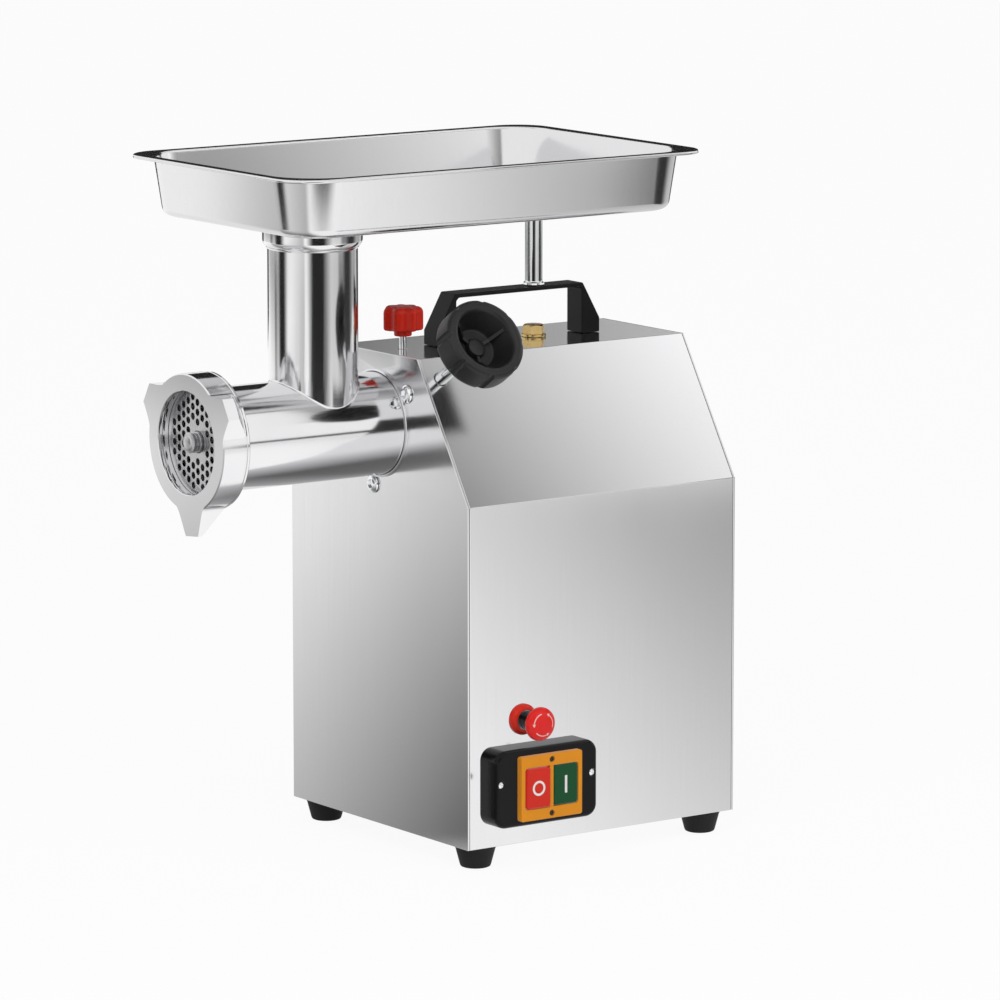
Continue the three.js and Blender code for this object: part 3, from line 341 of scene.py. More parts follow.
def dress(finish, *names):
    """Gives a carried-over piece its finish."""
    for name in names:
        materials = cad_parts[name].data.materials
        materials.clear()
        materials.append(finish)


dress(base_zinc.material, "base_plate")


def moulded(name, colour, roughness, grain=420.0, depth=0.03, fade=0.8, **steady):
    """A moulded surface: fine spark-eroded grain and slight unevenness of gloss and colour."""
    finish = Finish(name, colour, **steady)
    grains = finish.noise(grain * 4.0, 2.0)
    patches = finish.noise(30.0, 4.0)
    finish.feed("Roughness", roughness + 0.08 * (patches - 0.5) + 0.06 * (grains - 0.5))
    finish.tint(patches, colour, [fade * c for c in colour])
    finish.bump(grains, depth, 0.3)
    return finish.material


foot_rubber = moulded("foot_rubber", (0.014, 0.014, 0.015), 0.62, depth=0.05, Specular_IOR_Level=0.25)
for name, sx, sy in (("foot_front_right", 1, -1), ("foot_front_left", -1, -1),
                     ("foot_rear_right", 1, 1), ("foot_rear_left", -1, 1)):
    foot = bmesh.new()
    spun(foot, [(0, 5), (3.4, 5), (3.4, 0.8), (5.0, 0.4), (9.4, 0), (10.6, 0.5), (11.2, 1.8), (14.3, 13.6),
                (14.8, 14.2), (14.8, 15.4), (14.4, FOOT_H - GAP), (0, FOOT_H - GAP)],
         (sx * 95.5, sy * 100.0, 0), (0, 0, 1))
    keep(foot, "rubber_" + name, "machine", foot_rubber, [name], 0.35)

# ---- Gear housing and its bolts -----------------------------------------------------------------
# A cast alloy housing carries the head. Its nose shows as a thin turned ring in the front panel, and
# three plated button-head bolts hold the panel to its flange.
cast_alloy = Finish("cast_alloy", (0.60, 0.61, 0.62), metallic=1.0)
sand = cast_alloy.noise(300.0, 5.0)
cast_alloy.feed("Roughness", 0.34 + 0.22 * sand)
cast_alloy.tint(cast_alloy.noise(22.0), (0.64, 0.65, 0.66), (0.50, 0.51, 0.52))
cast_alloy.bump(sand, 0.12, 0.5)
dress(cast_alloy.material, "gear_housing", "gear_cover", "motor_rear_bell")

plating = Finish("plating", (0.86, 0.87, 0.88), metallic=1.0)
plating.feed("Roughness", 0.05 + 0.06 * plating.noise(160.0, 4.0))
chrome = plating.material
BOLT_CIRCLE_R = 45
for i, angle in enumerate((34, 150, 263)):
    x = BOLT_CIRCLE_R * math.cos(math.radians(angle))
    z = AXIS_Z + BOLT_CIRCLE_R * math.sin(math.radians(angle))
    bolt = bmesh.new()
    spun(bolt, [(0, 0.3), (6.6, 0.3), (6.7, 0.9), (6.3, 1.7), (5.2, 2.5), (3.7, 3.0), (0, 3.2)],
         (x, -HALF_D, z), (0, -1, 0), 48)
    key = bmesh.new()
    slab(key, [ring_points(x, z, 3.3, 6, 0.4 + i)], lambda u, v: Vector((u, -HALF_D - 6, v)), (0, 4.4, 0))
    keep(carve(bolt, key), f"button_bolt_{i + 1}", "machine", chrome, [f"flange_bolt_{i + 1}"], 0.2)

# ---- Grinder barrel -----------------------------------------------------------------------------
# One stainless casting, polished all over: the horizontal barrel, and the upright feed throat that
# grows out of it with a small weld-like fillet and ends in a thicker collar under the tray.
FACE_Y = -HALF_D - 162.0
THROAT_Y, THROAT_R, BARREL_R, COLLAR_R, TRAY_FLOOR_Z = -173.0, 32.0, 37.0, 35.5, FOOT_H + 442.0
polish = Finish("polished_casting", (0.84, 0.84, 0.85), metallic=1.0)
haze = polish.noise(18.0, 4.0)
buffing = polish.noise(700.0, 2.0, (1.0, 0.06, 1.0))
polish.feed("Roughness", 0.075 + 0.05 * haze + 0.03 * buffing)
polish.tint(haze, (0.86, 0.86, 0.87), (0.77, 0.77, 0.78))
polish.bump(polish.noise(9.0, 2.0), 0.25, 0.25)
polished = polish.material

barrel = bmesh.new()
spun(barrel, [(0, -268.3), (44.0, -268.3), (44.5, -267.8), (44.5, FACE_Y + 23.5), (BARREL_R, FACE_Y + 29.5),
              (BARREL_R, -119.9), (36.4, -119.3), (30.0, -119.3), (30.0, -91.0), (29.0, -90.0), (0, -90.0)],
     (0, 0, AXIS_Z), (0, 1, 0), 120)
throat = bmesh.new()
FILLET, STEPS = 1.3, 120


def on_barrel(radius, angle, lift=0.0):
    """The point of the barrel's skin at a distance and bearing from the throat's axis."""
    x = radius * math.cos(angle)
    skin = BARREL_R + lift
    return Vector((x, THROAT_Y + radius * math.sin(angle), AXIS_Z + math.sqrt(max(skin * skin - x * x, 0.0))))


loops = []
for stage in range(9):
    loop = []
    for i in range(STEPS):
        angle = 2 * math.pi * i / STEPS
        if stage == 0:
            spot = on_barrel(THROAT_R + FILLET, angle, -4.0)
        elif stage < 8:
            t = (stage - 1) / 6
            foot_spot, corner = on_barrel(THROAT_R + FILLET, angle, -0.05), on_barrel(THROAT_R, angle)
            rise = corner + Vector((0, 0, FILLET))
            spot = foot_spot * (1 - t) ** 2 + corner * 2 * t * (1 - t) + rise * t * t
        else:
            spot = Vector((THROAT_R * math.cos(angle), THROAT_Y + THROAT_R * math.sin(angle), AXIS_Z + 42))
        loop.append(throat.verts.new(spot))
    loops.append([throat.edges.new(pair) for pair in zip(loop, loop[1:] + loop[:1])])
for lower, upper in zip(loops, loops[1:]):
    bmesh.ops.bridge_loops(throat, edges=lower + upper)
bmesh.ops.triangle_fill(throat, use_beauty=True, use_dissolve=False, edges=loops[0])
bmesh.ops.triangle_fill(throat, use_beauty=True, use_dissolve=False, edges=loops[-1])
barrel = carve(barrel, throat, "UNION")
pipe = bmesh.new()
spun(pipe, [(0, AXIS_Z + 41), (THROAT_R, AXIS_Z + 41), (THROAT_R, TRAY_FLOOR_Z - 19.6),
            (32.5, TRAY_FLOOR_Z - 19.0), (33.0, TRAY_FLOOR_Z - 18.2), (33.0, TRAY_FLOOR_Z - 17.8),
            (33.9, TRAY_FLOOR_Z - 17.0), (34.9, TRAY_FLOOR_Z - 15.4), (COLLAR_R, TRAY_FLOOR_Z - 13.4),
            (COLLAR_R, TRAY_FLOOR_Z - 1.3), (COLLAR_R - 0.7, TRAY_FLOOR_Z - 0.3), (0, TRAY_FLOOR_Z - 0.3)],
     (0, THROAT_Y, 0), (0, 0, 1), STEPS)
barrel = carve(barrel, pipe, "UNION")
bores = bmesh.new()
spun(bores, [(0, -269), (41.3, -269), (41.3, -262.0), (31.0, -262.0), (31.0, -126.0), (12.15, -126.0),
             (12.15, -89), (0, -89)], (0, 0, AXIS_Z), (0, 1, 0), 96)
barrel = carve(barrel, bores)
drop = bmesh.new()
spun(drop, [(0, AXIS_Z), (26.0, AXIS_Z), (26.0, TRAY_FLOOR_Z + 1), (0, TRAY_FLOOR_Z + 1)],
     (0, THROAT_Y, 0), (0, 0, 1), 96)
barrel = carve(barrel, drop)
lock_hole = bmesh.new()
spun(lock_hole, [(0, AXIS_Z + 24), (LOCK_HOLE_R, AXIS_Z + 24), (LOCK_HOLE_R, AXIS_Z + 31), (0, AXIS_Z + 31)],
     (0, LOCK_Y, 0), (0, 0, 1), 40)
keep(carve(barrel, lock_hole), "polished_barrel", "head", polished, ["grinder_barrel"],
     crease=30)

# ---- Ring nut -----------------------------------------------------------------------------------
# The ring that holds the hole plate: a turned stainless ring with a stepped lip, a threaded skirt
# and three wedge-shaped lugs to knock it round by. Front face and lugs are ground flush.
RING_R, RING_L, OPENING_R, SEAT = 48.8, 22.5, 36.65, 9.7
HEAD_AT = (0, 0, AXIS_Z)
ring = bmesh.new()
spun(ring, [(OPENING_R + 0.4, 0), (RING_R - 0.8, 0), (RING_R, 0.8), (RING_R, 18.6), (RING_R - 0.5, 19.0),
            (RING_R - 0.5, 19.8), (RING_R, 20.2), (RING_R, RING_L - 0.8), (RING_R - 0.8, RING_L),
            (44.8, RING_L), (44.8, 11.8), (41.3, 11.8), (41.3, SEAT - 0.3), (38.4, SEAT - 0.3), (38.4, 6.2),
            (37.2, 5.9), (37.2, 4.5), (38.4, 4.2), (38.4, 1.9), (OPENING_R, 1.6), (OPENING_R, 0.4)],
     (0, FACE_Y, AXIS_Z), (0, 1, 0), 120, closed=True)
for angle, reach, spread in ((30, 60, 22), (150, 60, 22), (276, 66, 22)):
    middle, wide, tip = math.radians(angle), math.radians(spread), 8 / reach
    flank = []
    for step in range(9):
        t = step / 8
        legs = [(RING_R - 0.5, wide), (RING_R + 0.8, 0.55 * wide + 0.45 * tip), (reach, tip)]
        share = [(1 - t) ** 2, 2 * t * (1 - t), t * t]
        flank.append([sum(s * leg[k] for s, leg in zip(share, legs)) for k in (0, 1)])
    corners = [(r * math.cos(middle + side * a), AXIS_Z + r * math.sin(middle + side * a))
               for side, run in ((-1, flank), (1, flank[::-1])) for r, a in run]
    corners += [(45.4 * math.cos(middle + side * wide), AXIS_Z + 45.4 * math.sin(middle + side * wide))
                for side in (1, -1)]
    lug, cone = bmesh.new(), bmesh.new()
    slab(lug, [corners], lambda u, v: Vector((u, FACE_Y, v)), (0, RING_L, 0))
    spun(cone, [(45.2, 0), (80, 0), (80, 2.2), (66, 3.4), (RING_R + 1, RING_L - 4.5), (45.2, RING_L - 4.5)],
         (0, FACE_Y, AXIS_Z), (0, 1, 0), 96, closed=True)
    ring = carve(ring, carve(lug, cone, "INTERSECT"), "UNION")
keep(ring, "ring_with_lugs", "ring", polished, ["ring_nut"], 0.4, 2, 25)

# ---- Hole plate ---------------------------------------------------------------------------------
# The standard 82 mm mincing plate: hardened steel, ground flat, drilled right through on a
# triangular pitch, with a bush in the middle for the auger's stud.
ground = Finish("ground_steel", (0.66, 0.66, 0.67), metallic=1.0)
sweep = ground.noise(520.0, 2.0, (1.0, 1.0, 0.05), rotation=(0, 0.9, 0))
ground.feed("Roughness", 0.20 + 0.14 * sweep)
ground.tint(ground.noise(40.0, 4.0), (0.72, 0.72, 0.73), (0.60, 0.60, 0.61))
ground.bump(sweep, 0.02, 0.3)
PLATE_R, BUSH_R, PITCH, HOLE_R = 40.9, 7.9, 7.0, 2.5
holes = [ring_points(0, AXIS_Z, PLATE_R, 96), ring_points(0, AXIS_Z, BUSH_R, 32)]
for i in range(-6, 7):
    for j in range(-6, 7):
        u, v = j * PITCH * math.sin(math.pi / 3), (i + j / 2) * PITCH
        if 13 < math.hypot(u, v) < 34:
            holes.append(ring_points(u, AXIS_Z + v, HOLE_R, 20))
plate = bmesh.new()
slab(plate, holes, lambda u, v: Vector((u, FACE_Y + SEAT, v)), (0, 8, 0))
keep(plate, "drilled_plate", "head", ground.material, ["hole_plate"], 0.25)

# ---- Auger and knife ----------------------------------------------------------------------------
# A cast steel feed screw with one thick flight. Its round shank turns in the barrel, a square drives
# the four-bladed knife, and a ridged stud shows in the middle of the plate.
BORE_END, TANG_END, SHANK_R = -126.0, -76.0, 12.0
flight_from, flight_to = BORE_END - 2, FACE_Y + SEAT + 19
cast_steel = Finish("cast_steel", (0.58, 0.58, 0.59), metallic=1.0)
skin = cast_steel.noise(240.0, 5.0)
cast_steel.feed("Roughness", 0.24 + 0.16 * skin)
cast_steel.tint(skin, (0.66, 0.66, 0.67), (0.50, 0.50, 0.51))
cast_steel.bump(skin, 0.05, 0.4)
screw = bmesh.new()
section = []
for degrees in range(0, 360, 8):
    off = min(degrees, 360 - degrees)
    climb = min(max((50 - off) / 32, 0.0), 1.0)
    section.append((11.5 + 18.9 * climb * climb * (3 - 2 * climb), math.radians(degrees)))
rim = outline(screw, [(r * math.cos(a), AXIS_Z + r * math.sin(a)) for r, a in section],
              lambda u, v: Vector((u, flight_from, v)))
reach, steps, FLIGHT_PITCH = flight_from - flight_to, 150, 38.0
bmesh.ops.spin(screw, geom=rim + [v for v in screw.verts], cent=HEAD_AT, axis=(0, 1, 0),
               dvec=(0, -reach / steps, 0), angle=-2 * math.pi * reach / FLIGHT_PITCH, steps=steps)
bmesh.ops.holes_fill(screw, edges=[e for e in screw.edges if e.is_boundary], sides=0)
shafts = bmesh.new()
spun(shafts, [(0, flight_from - 1), (SHANK_R, flight_from - 1), (SHANK_R, -91), (SHANK_R - 1, -90), (0, -90)],
     HEAD_AT, (0, 1, 0), 64)
screw = carve(screw, shafts, "UNION")
tang = bmesh.new()
slab(tang, [soft_rect(0, AXIS_Z, 14, 14, 1.2, 3)], lambda u, v: Vector((u, -92, v)), (0, 92 + TANG_END, 0))
screw = carve(screw, tang, "UNION")
square = bmesh.new()
slab(square, [soft_rect(0, AXIS_Z, 12, 12, 1, 3)],
     lambda u, v: Vector((u, FACE_Y + SEAT + 8.5, v)), (0, 12, 0))
screw = carve(screw, square, "UNION")
stud = bmesh.new()
crest = [(0, 0.6), (4.2, 0.6), (5.4, 1.2)]
for i in range(3):
    crest += [(5.7, 1.8 + 2.6 * i), (7.4, 2.5 + 2.6 * i), (7.4, 3.2 + 2.6 * i), (5.7, 3.9 + 2.6 * i)]
spun(stud, crest + [(7.4, SEAT), (7.4, SEAT + 20), (0, SEAT + 20)], (0, FACE_Y, AXIS_Z), (0, 1, 0), 64)
keep(carve(screw, stud, "UNION"), "feed_auger", "feed_screw", cast_steel.material, ["auger"],
     crease=40)
dress(ground.material, "knife")

# ---- Tray ---------------------------------------------------------------------------------------
# A loose tray pressed from 1.2 mm stainless: a flat flange with a short turned-down edge, leaning
# walls, a flat floor, and a spout welded round the hole that drops into the feed throat.
TRAY_X, TRAY_FRONT, TRAY_BACK, RIM_Z, TRAY_SHEET = 115.2, -261.6, 94.3, FOOT_H + 485.0, 1.2
tray_y = (TRAY_FRONT + TRAY_BACK) / 2
FLANGE, RIM_CORNER, WALL_CORNER = 8.5, 27, 34
inner_x, inner_y = 2 * (TRAY_X - FLANGE - TRAY_SHEET), TRAY_BACK - TRAY_FRONT - 2 * (FLANGE + TRAY_SHEET)
outer_x, outer_y = 2 * TRAY_X, TRAY_BACK - TRAY_FRONT
lean = 6.0 / 43.0
path = [(outer_x, outer_y, RIM_CORNER, RIM_Z - 2.2), (outer_x, outer_y, RIM_CORNER, RIM_Z - 0.9),
        (outer_x - 0.5, outer_y - 0.5, RIM_CORNER - 0.3, RIM_Z - 0.25),
        (outer_x - 1.8, outer_y - 1.8, RIM_CORNER - 0.9, RIM_Z)]
EDGE_R, FLOOR_R = 2.2, 6.0
for step in range(6):
    a = math.radians(84 * step / 5)
    inset = EDGE_R * (math.sin(a) - 1)
    path.append((inner_x - 2 * inset, inner_y - 2 * inset, WALL_CORNER - inset,
                 RIM_Z - EDGE_R * (1 - math.cos(a))))
for step in range(8):
    a = math.radians(8 + 82 * step / 7)
    drop = RIM_Z - (TRAY_FLOOR_Z + TRAY_SHEET)
    inset = lean * drop + FLOOR_R * (1 - math.cos(a)) - 0.6
    path.append((inner_x - 2 * inset, inner_y - 2 * inset, WALL_CORNER - inset,
                 TRAY_FLOOR_Z + TRAY_SHEET + FLOOR_R * (1 - math.sin(a))))
tray = bmesh.new()
loops = [outline(tray, soft_rect(0, tray_y, w, d, r, 14), lambda u, v: Vector((u, v, z)))
         for w, d, r, z in path]
for upper, lower in zip(loops, loops[1:]):
    bmesh.ops.bridge_loops(tray, edges=upper + lower)
spout = [outline(tray, ring_points(0, THROAT_Y, r, 64),
                 lambda u, v: Vector((u, v, TRAY_FLOOR_Z + TRAY_SHEET - d)))
         for r, d in ((26.6, 0.0), (25.6, 0.25), (24.8, 0.9), (24.4, 2.1), (24.4, 29.2))]
for upper, lower in zip(spout, spout[1:]):
    bmesh.ops.bridge_loops(tray, edges=upper + lower)
bmesh.ops.triangle_fill(tray, use_beauty=True, use_dissolve=False, edges=loops[-1] + spout[0])
tray_piece = keep(tray, "pressed_tray", "loose_tray", sheet_steel, ["tray"], crease=50,
                  thin=True)
wall = tray_piece.modifiers.new("wall", "SOLIDIFY")
wall.thickness, wall.offset, wall.use_even_offset = TRAY_SHEET * MM, -1.0, True

# ---- Carrying handle, tray post and oil plug ----------------------------------------------------
# The handle is a cast bridge, powder-coated satin black. A chromed post screwed into it props the
# tray, and a hexagon brass plug on a washer closes the gear oil filler between its legs.
powder = moulded("powder_coat", (0.009, 0.009, 0.010), 0.36, grain=260.0, depth=0.12, Specular_IOR_Level=0.15)
HANDLE_TOP = FOOT_H + 381.5
feet_z = TOP_Z + 0.3
half = [(71.5, feet_z), (71.5, feet_z + 10.5), (56.5, HANDLE_TOP)]
under = [(55.5, HANDLE_TOP - 5.2), (53.2, HANDLE_TOP - 3.0)]
profile = half + [(-u, v) for u, v in reversed(half)] + [(-55.5, feet_z)] + \
    [(-u, v) for u, v in under] + under[::-1] + [(55.5, feet_z)]
handle = bmesh.new()
slab(handle, [profile], lambda u, v: Vector((-9.5, u, v)), (19, 0, 0))
keep(handle, "cast_handle", "machine", powder, ["handle"], 0.9, 3)

post = bmesh.new()
spun(post, [(0, HANDLE_TOP + 0.3), (7.6, HANDLE_TOP + 0.3), (7.8, HANDLE_TOP + 0.8), (7.5, HANDLE_TOP + 2.0),
            (6.5, HANDLE_TOP + 2.8), (6.3, HANDLE_TOP + 3.6), (6.3, TRAY_FLOOR_Z - 7.6),
            (5.8, TRAY_FLOOR_Z - 7.2), (5.8, TRAY_FLOOR_Z - 6.6), (6.3, TRAY_FLOOR_Z - 6.2),
            (6.3, TRAY_FLOOR_Z - 1.0), (5.7, TRAY_FLOOR_Z - 0.3), (0, TRAY_FLOOR_Z - 0.3)], (0, OIL_Y, 0),
     (0, 0, 1), 64)
keep(post, "plated_post", "machine", chrome, ["tray_post"], crease=30)

brass = Finish("brass", (0.78, 0.57, 0.24), metallic=1.0)
brass.feed("Roughness", 0.20 + 0.12 * brass.noise(180.0, 4.0))
brass.tint(brass.noise(60.0, 4.0), (0.80, 0.59, 0.26), (0.62, 0.43, 0.16))
hexagon, dome, washer = bmesh.new(), bmesh.new(), bmesh.new()
slab(hexagon, [ring_points(0, OIL_Y, 8.2, 6, 0.2)], lambda u, v: Vector((u, v, TOP_Z + 1.9)), (0, 0, 7.1))
spun(dome, [(0, TOP_Z), (8.6, TOP_Z), (8.6, TOP_Z + 7.6), (6.6, TOP_Z + 8.9), (0, TOP_Z + 8.9)],
     (0, OIL_Y, 0), (0, 0, 1), 64)
spun(washer, [(0, TOP_Z - 9), (5.9, TOP_Z - 9), (5.9, TOP_Z + 0.3), (8.9, TOP_Z + 0.3), (9.0, TOP_Z + 0.7),
              (9.0, TOP_Z + 1.9), (8.6, TOP_Z + 2.2), (0, TOP_Z + 2.2)], (0, OIL_Y, 0), (0, 0, 1), 64)
keep(carve(carve(hexagon, dome, "INTERSECT"), washer, "UNION"), "hexagon_plug", "machine",
     brass.material, ["oil_plug"], 0.2)

# ---- Clamp screw and knob -----------------------------------------------------------------------
# A chromed screw runs through the slant to lock the head. Its knob is moulded in black plastic: a
# deep fluted skirt, a flat rim, and a dished face with ribs round a boss.
knob_black = moulded("knob_plastic", (0.012, 0.012, 0.013), 0.40, Specular_IOR_Level=0.42)
knob_face = clamp_panel + 68.0
knob_back, stem_end, KNOB_R = knob_face - 39.0, knob_face - 20.0, 30.4
stem = bmesh.new()
spun(stem, [(0, 30.4), (3.7, 30.4), (4.75, 31.5), (4.75, stem_end), (0, stem_end)], CLAMP_AT, CLAMP_AXIS, 48)
keep(stem, "clamp_screw_bar", "clamp_screw", chrome, ["clamp_stem"], 0.2)

knob = bmesh.new()
spun(knob, [(5.1, knob_back), (12.6, knob_back), (13.6, knob_back + 0.8), (14.0, knob_back + 2.0),
            (14.0, knob_face - 25.2), (15.2, knob_face - 24.0), (23.0, knob_face - 23.0),
            (KNOB_R - 1.6, knob_face - 21.4), (KNOB_R - 0.3, knob_face - 19.6), (KNOB_R, knob_face - 17.0),
            (KNOB_R, knob_face - 4.2), (KNOB_R - 0.5, knob_face - 2.4), (KNOB_R - 1.5, knob_face - 1.0),
            (KNOB_R - 3.2, knob_face - 0.2), (25.6, knob_face), (23.8, knob_face - 0.5),
            (22.6, knob_face - 1.6), (21.6, knob_face - 3.6), (15.6, knob_face - 16.6),
            (14.6, knob_face - 17.8), (13.2, knob_face - 18.3), (7.6, knob_face - 18.6),
            (7.2, knob_face - 16.4), (6.4, knob_face - 15.0), (4.6, knob_face - 14.2), (0, knob_face - 14.0),
            (0, stem_end + 0.4), (5.1, stem_end + 0.4)], CLAMP_AT, CLAMP_AXIS, 96, closed=True)
level = Vector((0, 1, 0))
steep = CLAMP_AXIS.cross(level)
FLUTE_AT, RIB_AT = 32.3, 20
flutes = bmesh.new()
for i in range(8):
    a = math.radians(FLUTE_AT + 45 * i)
    out = level * math.cos(a) + steep * math.sin(a)
    spun(flutes, [(0, knob_face - 26), (3.4, knob_face - 26), (3.4, knob_face + 2), (0, knob_face + 2)],
         CLAMP_AT + out * (KNOB_R + 1.2), CLAMP_AXIS, 28)
knob = carve(knob, flutes)
for i in range(3):
    a = math.radians(RIB_AT + 120 * i)
    out = level * math.cos(a) + steep * math.sin(a)
    side = CLAMP_AXIS.cross(out)
    rib = bmesh.new()
    slab(rib, [[(6.0, -20.0), (16.0, -20.0), (22.4, -5.0), (20.4, -5.0), (12.0, -14.5), (6.0, -16.0)]],
         lambda u, v: CLAMP_AT + CLAMP_AXIS * (knob_face + v) + out * u - side * 1.2, side * 2.4)
    knob = carve(knob, rib, "UNION")
keep(knob, "fluted_knob", "clamp_hand", knob_black, ["clamp_knob"], 0.45, 3, 30)

# ---- Lock pin -----------------------------------------------------------------------------------
# A thin chromed pin drops through the top into the head's spigot. It is turned by a small red
# moulded knob with seven lobes on a round neck.
red = moulded("red_plastic", (0.70, 0.022, 0.008), 0.24, Specular_IOR_Level=0.22)
pin = bmesh.new()
spun(pin, [(0, AXIS_Z + 31), (1.8, AXIS_Z + 31), (2.6, AXIS_Z + 32), (2.6, TOP_Z + 25), (0, TOP_Z + 25)],
     (0, LOCK_Y, 0), (0, 0, 1), 40)
keep(pin, "plated_pin", "lock_pin", chrome, ["lock_stem"], 0.15)
lobed = bmesh.new()
LOBED_R, LOBE = 13.4, 1.25
skirt = [(2.9, TOP_Z + 9.6), (5.9, TOP_Z + 9.6), (6.4, TOP_Z + 10.1), (6.4, TOP_Z + 13.0)]
loops = [outline(lobed, ring_points(0, LOCK_Y, r, 112), lambda u, v: Vector((u, v, z))) for r, z in skirt]
for inset, z in ((2.6, 13.6), (0.9, 14.0), (0.2, 14.7), (0.0, 15.8), (0.0, 26.4), (0.3, 28.2), (1.3, 29.8),
                 (3.0, 30.7), (5.0, 31.0)):
    points = []
    for i in range(112):
        a = 2 * math.pi * i / 112
        r = LOBED_R + LOBE * math.cos(7 * a) - inset
        points.append((r * math.cos(a), LOCK_Y + r * math.sin(a)))
    loops.append(outline(lobed, points, lambda u, v: Vector((u, v, TOP_Z + z))))
inner = outline(lobed, ring_points(0, LOCK_Y, 2.9, 112), lambda u, v: Vector((u, v, TOP_Z + 25.4)))
for upper, lower in zip([inner] + loops, loops):
    bmesh.ops.bridge_loops(lobed, edges=upper + lower)
for rim in (inner, loops[-1]):
    bmesh.ops.edgeloop_fill(lobed, edges=rim)
keep(lobed, "lobed_knob", "lock_hand", red, ["lock_knob"], crease=45)

# ---- Switch box ---------------------------------------------------------------------------------
# A glossy black moulded box is screwed to the side. A yellow-orange bezel over it frames the red
# stop button and the lower, green start button.
gloss_black = moulded("gloss_black", (0.007, 0.007, 0.008), 0.16, depth=0.01, Specular_IOR_Level=0.14)
orange = moulded("orange_plastic", (0.80, 0.29, 0.006), 0.36, Specular_IOR_Level=0.25)
green = moulded("green_plastic", (0.004, 0.075, 0.022), 0.26, Specular_IOR_Level=0.18)
dark_screw = moulded("blackened_screw", (0.05, 0.035, 0.02), 0.4, Metallic=0.6)
white_ink = moulded("white_print", (0.80, 0.79, 0.77), 0.45, fade=0.95)
SWITCH_Y, SWITCH_Z = -64.0, FOOT_H + 45.2
box_back, box_front = HALF_W + GAP, HALF_W + 21.3
bezel_back, bezel_front = box_front + GAP, box_front + 5.5
BOX_SCREW_Y, BOX_SCREW_Z, BEZEL_SCREW_Z, KEY_Y = 39.5, 4, 19.4, 12.2


def onto_side(x):
    return lambda u, v: Vector((x, u, v))


def shell(bm, rims):
    """Bridges rounded rectangles, (width, height, corner, x), into one closed ring-shaped wall."""
    loops = [outline(bm, soft_rect(SWITCH_Y, SWITCH_Z, w, h, r, 10), onto_side(x)) for w, h, r, x in rims]
    for near, far in zip(loops, loops[1:] + loops[:1]):
        bmesh.ops.bridge_loops(bm, edges=near + far)


box = bmesh.new()
shell(box, [(87.4, 55.4, 8.7, box_back), (88, 56, 9, box_back + 0.6), (88, 56, 9, box_front - 4.0),
            (87.6, 55.6, 8.8, box_front - 2.4), (86.2, 54.2, 8.1, box_front - 0.9),
            (84.0, 52.0, 7.0, box_front - 0.1), (82.6, 50.6, 6.3, box_front), (46.8, 30.6, 2.0, box_front),
            (46.8, 30.6, 2.0, box_front - 3), (66, 48, 6, box_front - 3), (66, 48, 6, box_back)])
pockets = bmesh.new()
for side in (-1, 1):
    spun(pockets, [(0, box_front - 2.9), (2.6, box_front - 2.9), (2.6, box_front - 0.7),
                   (3.0, box_front + 0.2), (0, box_front + 0.2)],
         (0, SWITCH_Y + side * BOX_SCREW_Y, SWITCH_Z + BOX_SCREW_Z), (1, 0, 0), 40)
keep(carve(box, pockets), "moulded_box", "machine", gloss_black, ["switch_box"], crease=50)
for i, side in enumerate((-1, 1)):
    screw, slot = bmesh.new(), bmesh.new()
    at = (0, SWITCH_Y + side * BOX_SCREW_Y, SWITCH_Z + BOX_SCREW_Z)
    spun(screw, [(0, box_front - 2.8), (2.3, box_front - 2.8), (2.3, box_front - 2.0), (2.0, box_front - 1.2),
                 (1.4, box_front - 0.7), (0, box_front - 0.4)], at, (1, 0, 0), 40)
    for w, h in ((2.6, 0.6), (0.6, 2.6)):
        slab(slot, [soft_rect(at[1], at[2], w, h, 0.1, 1)], onto_side(box_front - 1.7), (2, 0, 0))
        screw, slot = carve(screw, slot), bmesh.new()
    slot.free()
    keep(screw, f"dome_screw_{i + 1}", "machine", chrome, [f"box_screw_{i + 1}"], crease=30)

bezel = bmesh.new()
shell(bezel, [(53, 46.5, 1.8, bezel_back), (53, 46.5, 1.8, bezel_front - 0.7),
              (52.6, 46.1, 1.6, bezel_front - 0.2), (51.8, 45.3, 1.2, bezel_front),
              (46.8, 30.6, 2.6, bezel_front), (46.2, 30.0, 2.5, bezel_front - 0.3),
              (45.8, 29.6, 2.5, bezel_front - 0.9), (45.8, 29.6, 2.5, bezel_back)])
bar = bmesh.new()
slab(bar, [soft_rect(SWITCH_Y, SWITCH_Z, 3.0, 32, 0.3, 2)], onto_side(bezel_back), (4.7, 0, 0))
bezel = carve(bezel, bar, "UNION")
wells = bmesh.new()
for side in (-1, 1):
    spun(wells, [(0, bezel_front - 1.1), (2.2, bezel_front - 1.1), (2.3, bezel_front + 0.1),
                 (0, bezel_front + 0.1)],
         (0, SWITCH_Y, SWITCH_Z + side * BEZEL_SCREW_Z), (1, 0, 0), 32)
keep(carve(bezel, wells), "framing_bezel", "machine", orange, ["switch_bezel"], crease=50)
for i, side in enumerate((1, -1)):
    screw = bmesh.new()
    spun(screw, [(0, bezel_front - 1.0), (1.9, bezel_front - 1.0), (1.9, bezel_front - 0.7),
                 (1.2, bezel_front - 0.3), (0.8, bezel_front - 0.3), (0.7, bezel_front - 0.8),
                 (0, bezel_front - 0.8)],
         (0, SWITCH_Y, SWITCH_Z + side * BEZEL_SCREW_Z), (1, 0, 0), 32)
    keep(screw, f"small_screw_{i + 1}", "machine", dark_screw, [f"bezel_screw_{i + 1}"], crease=30)

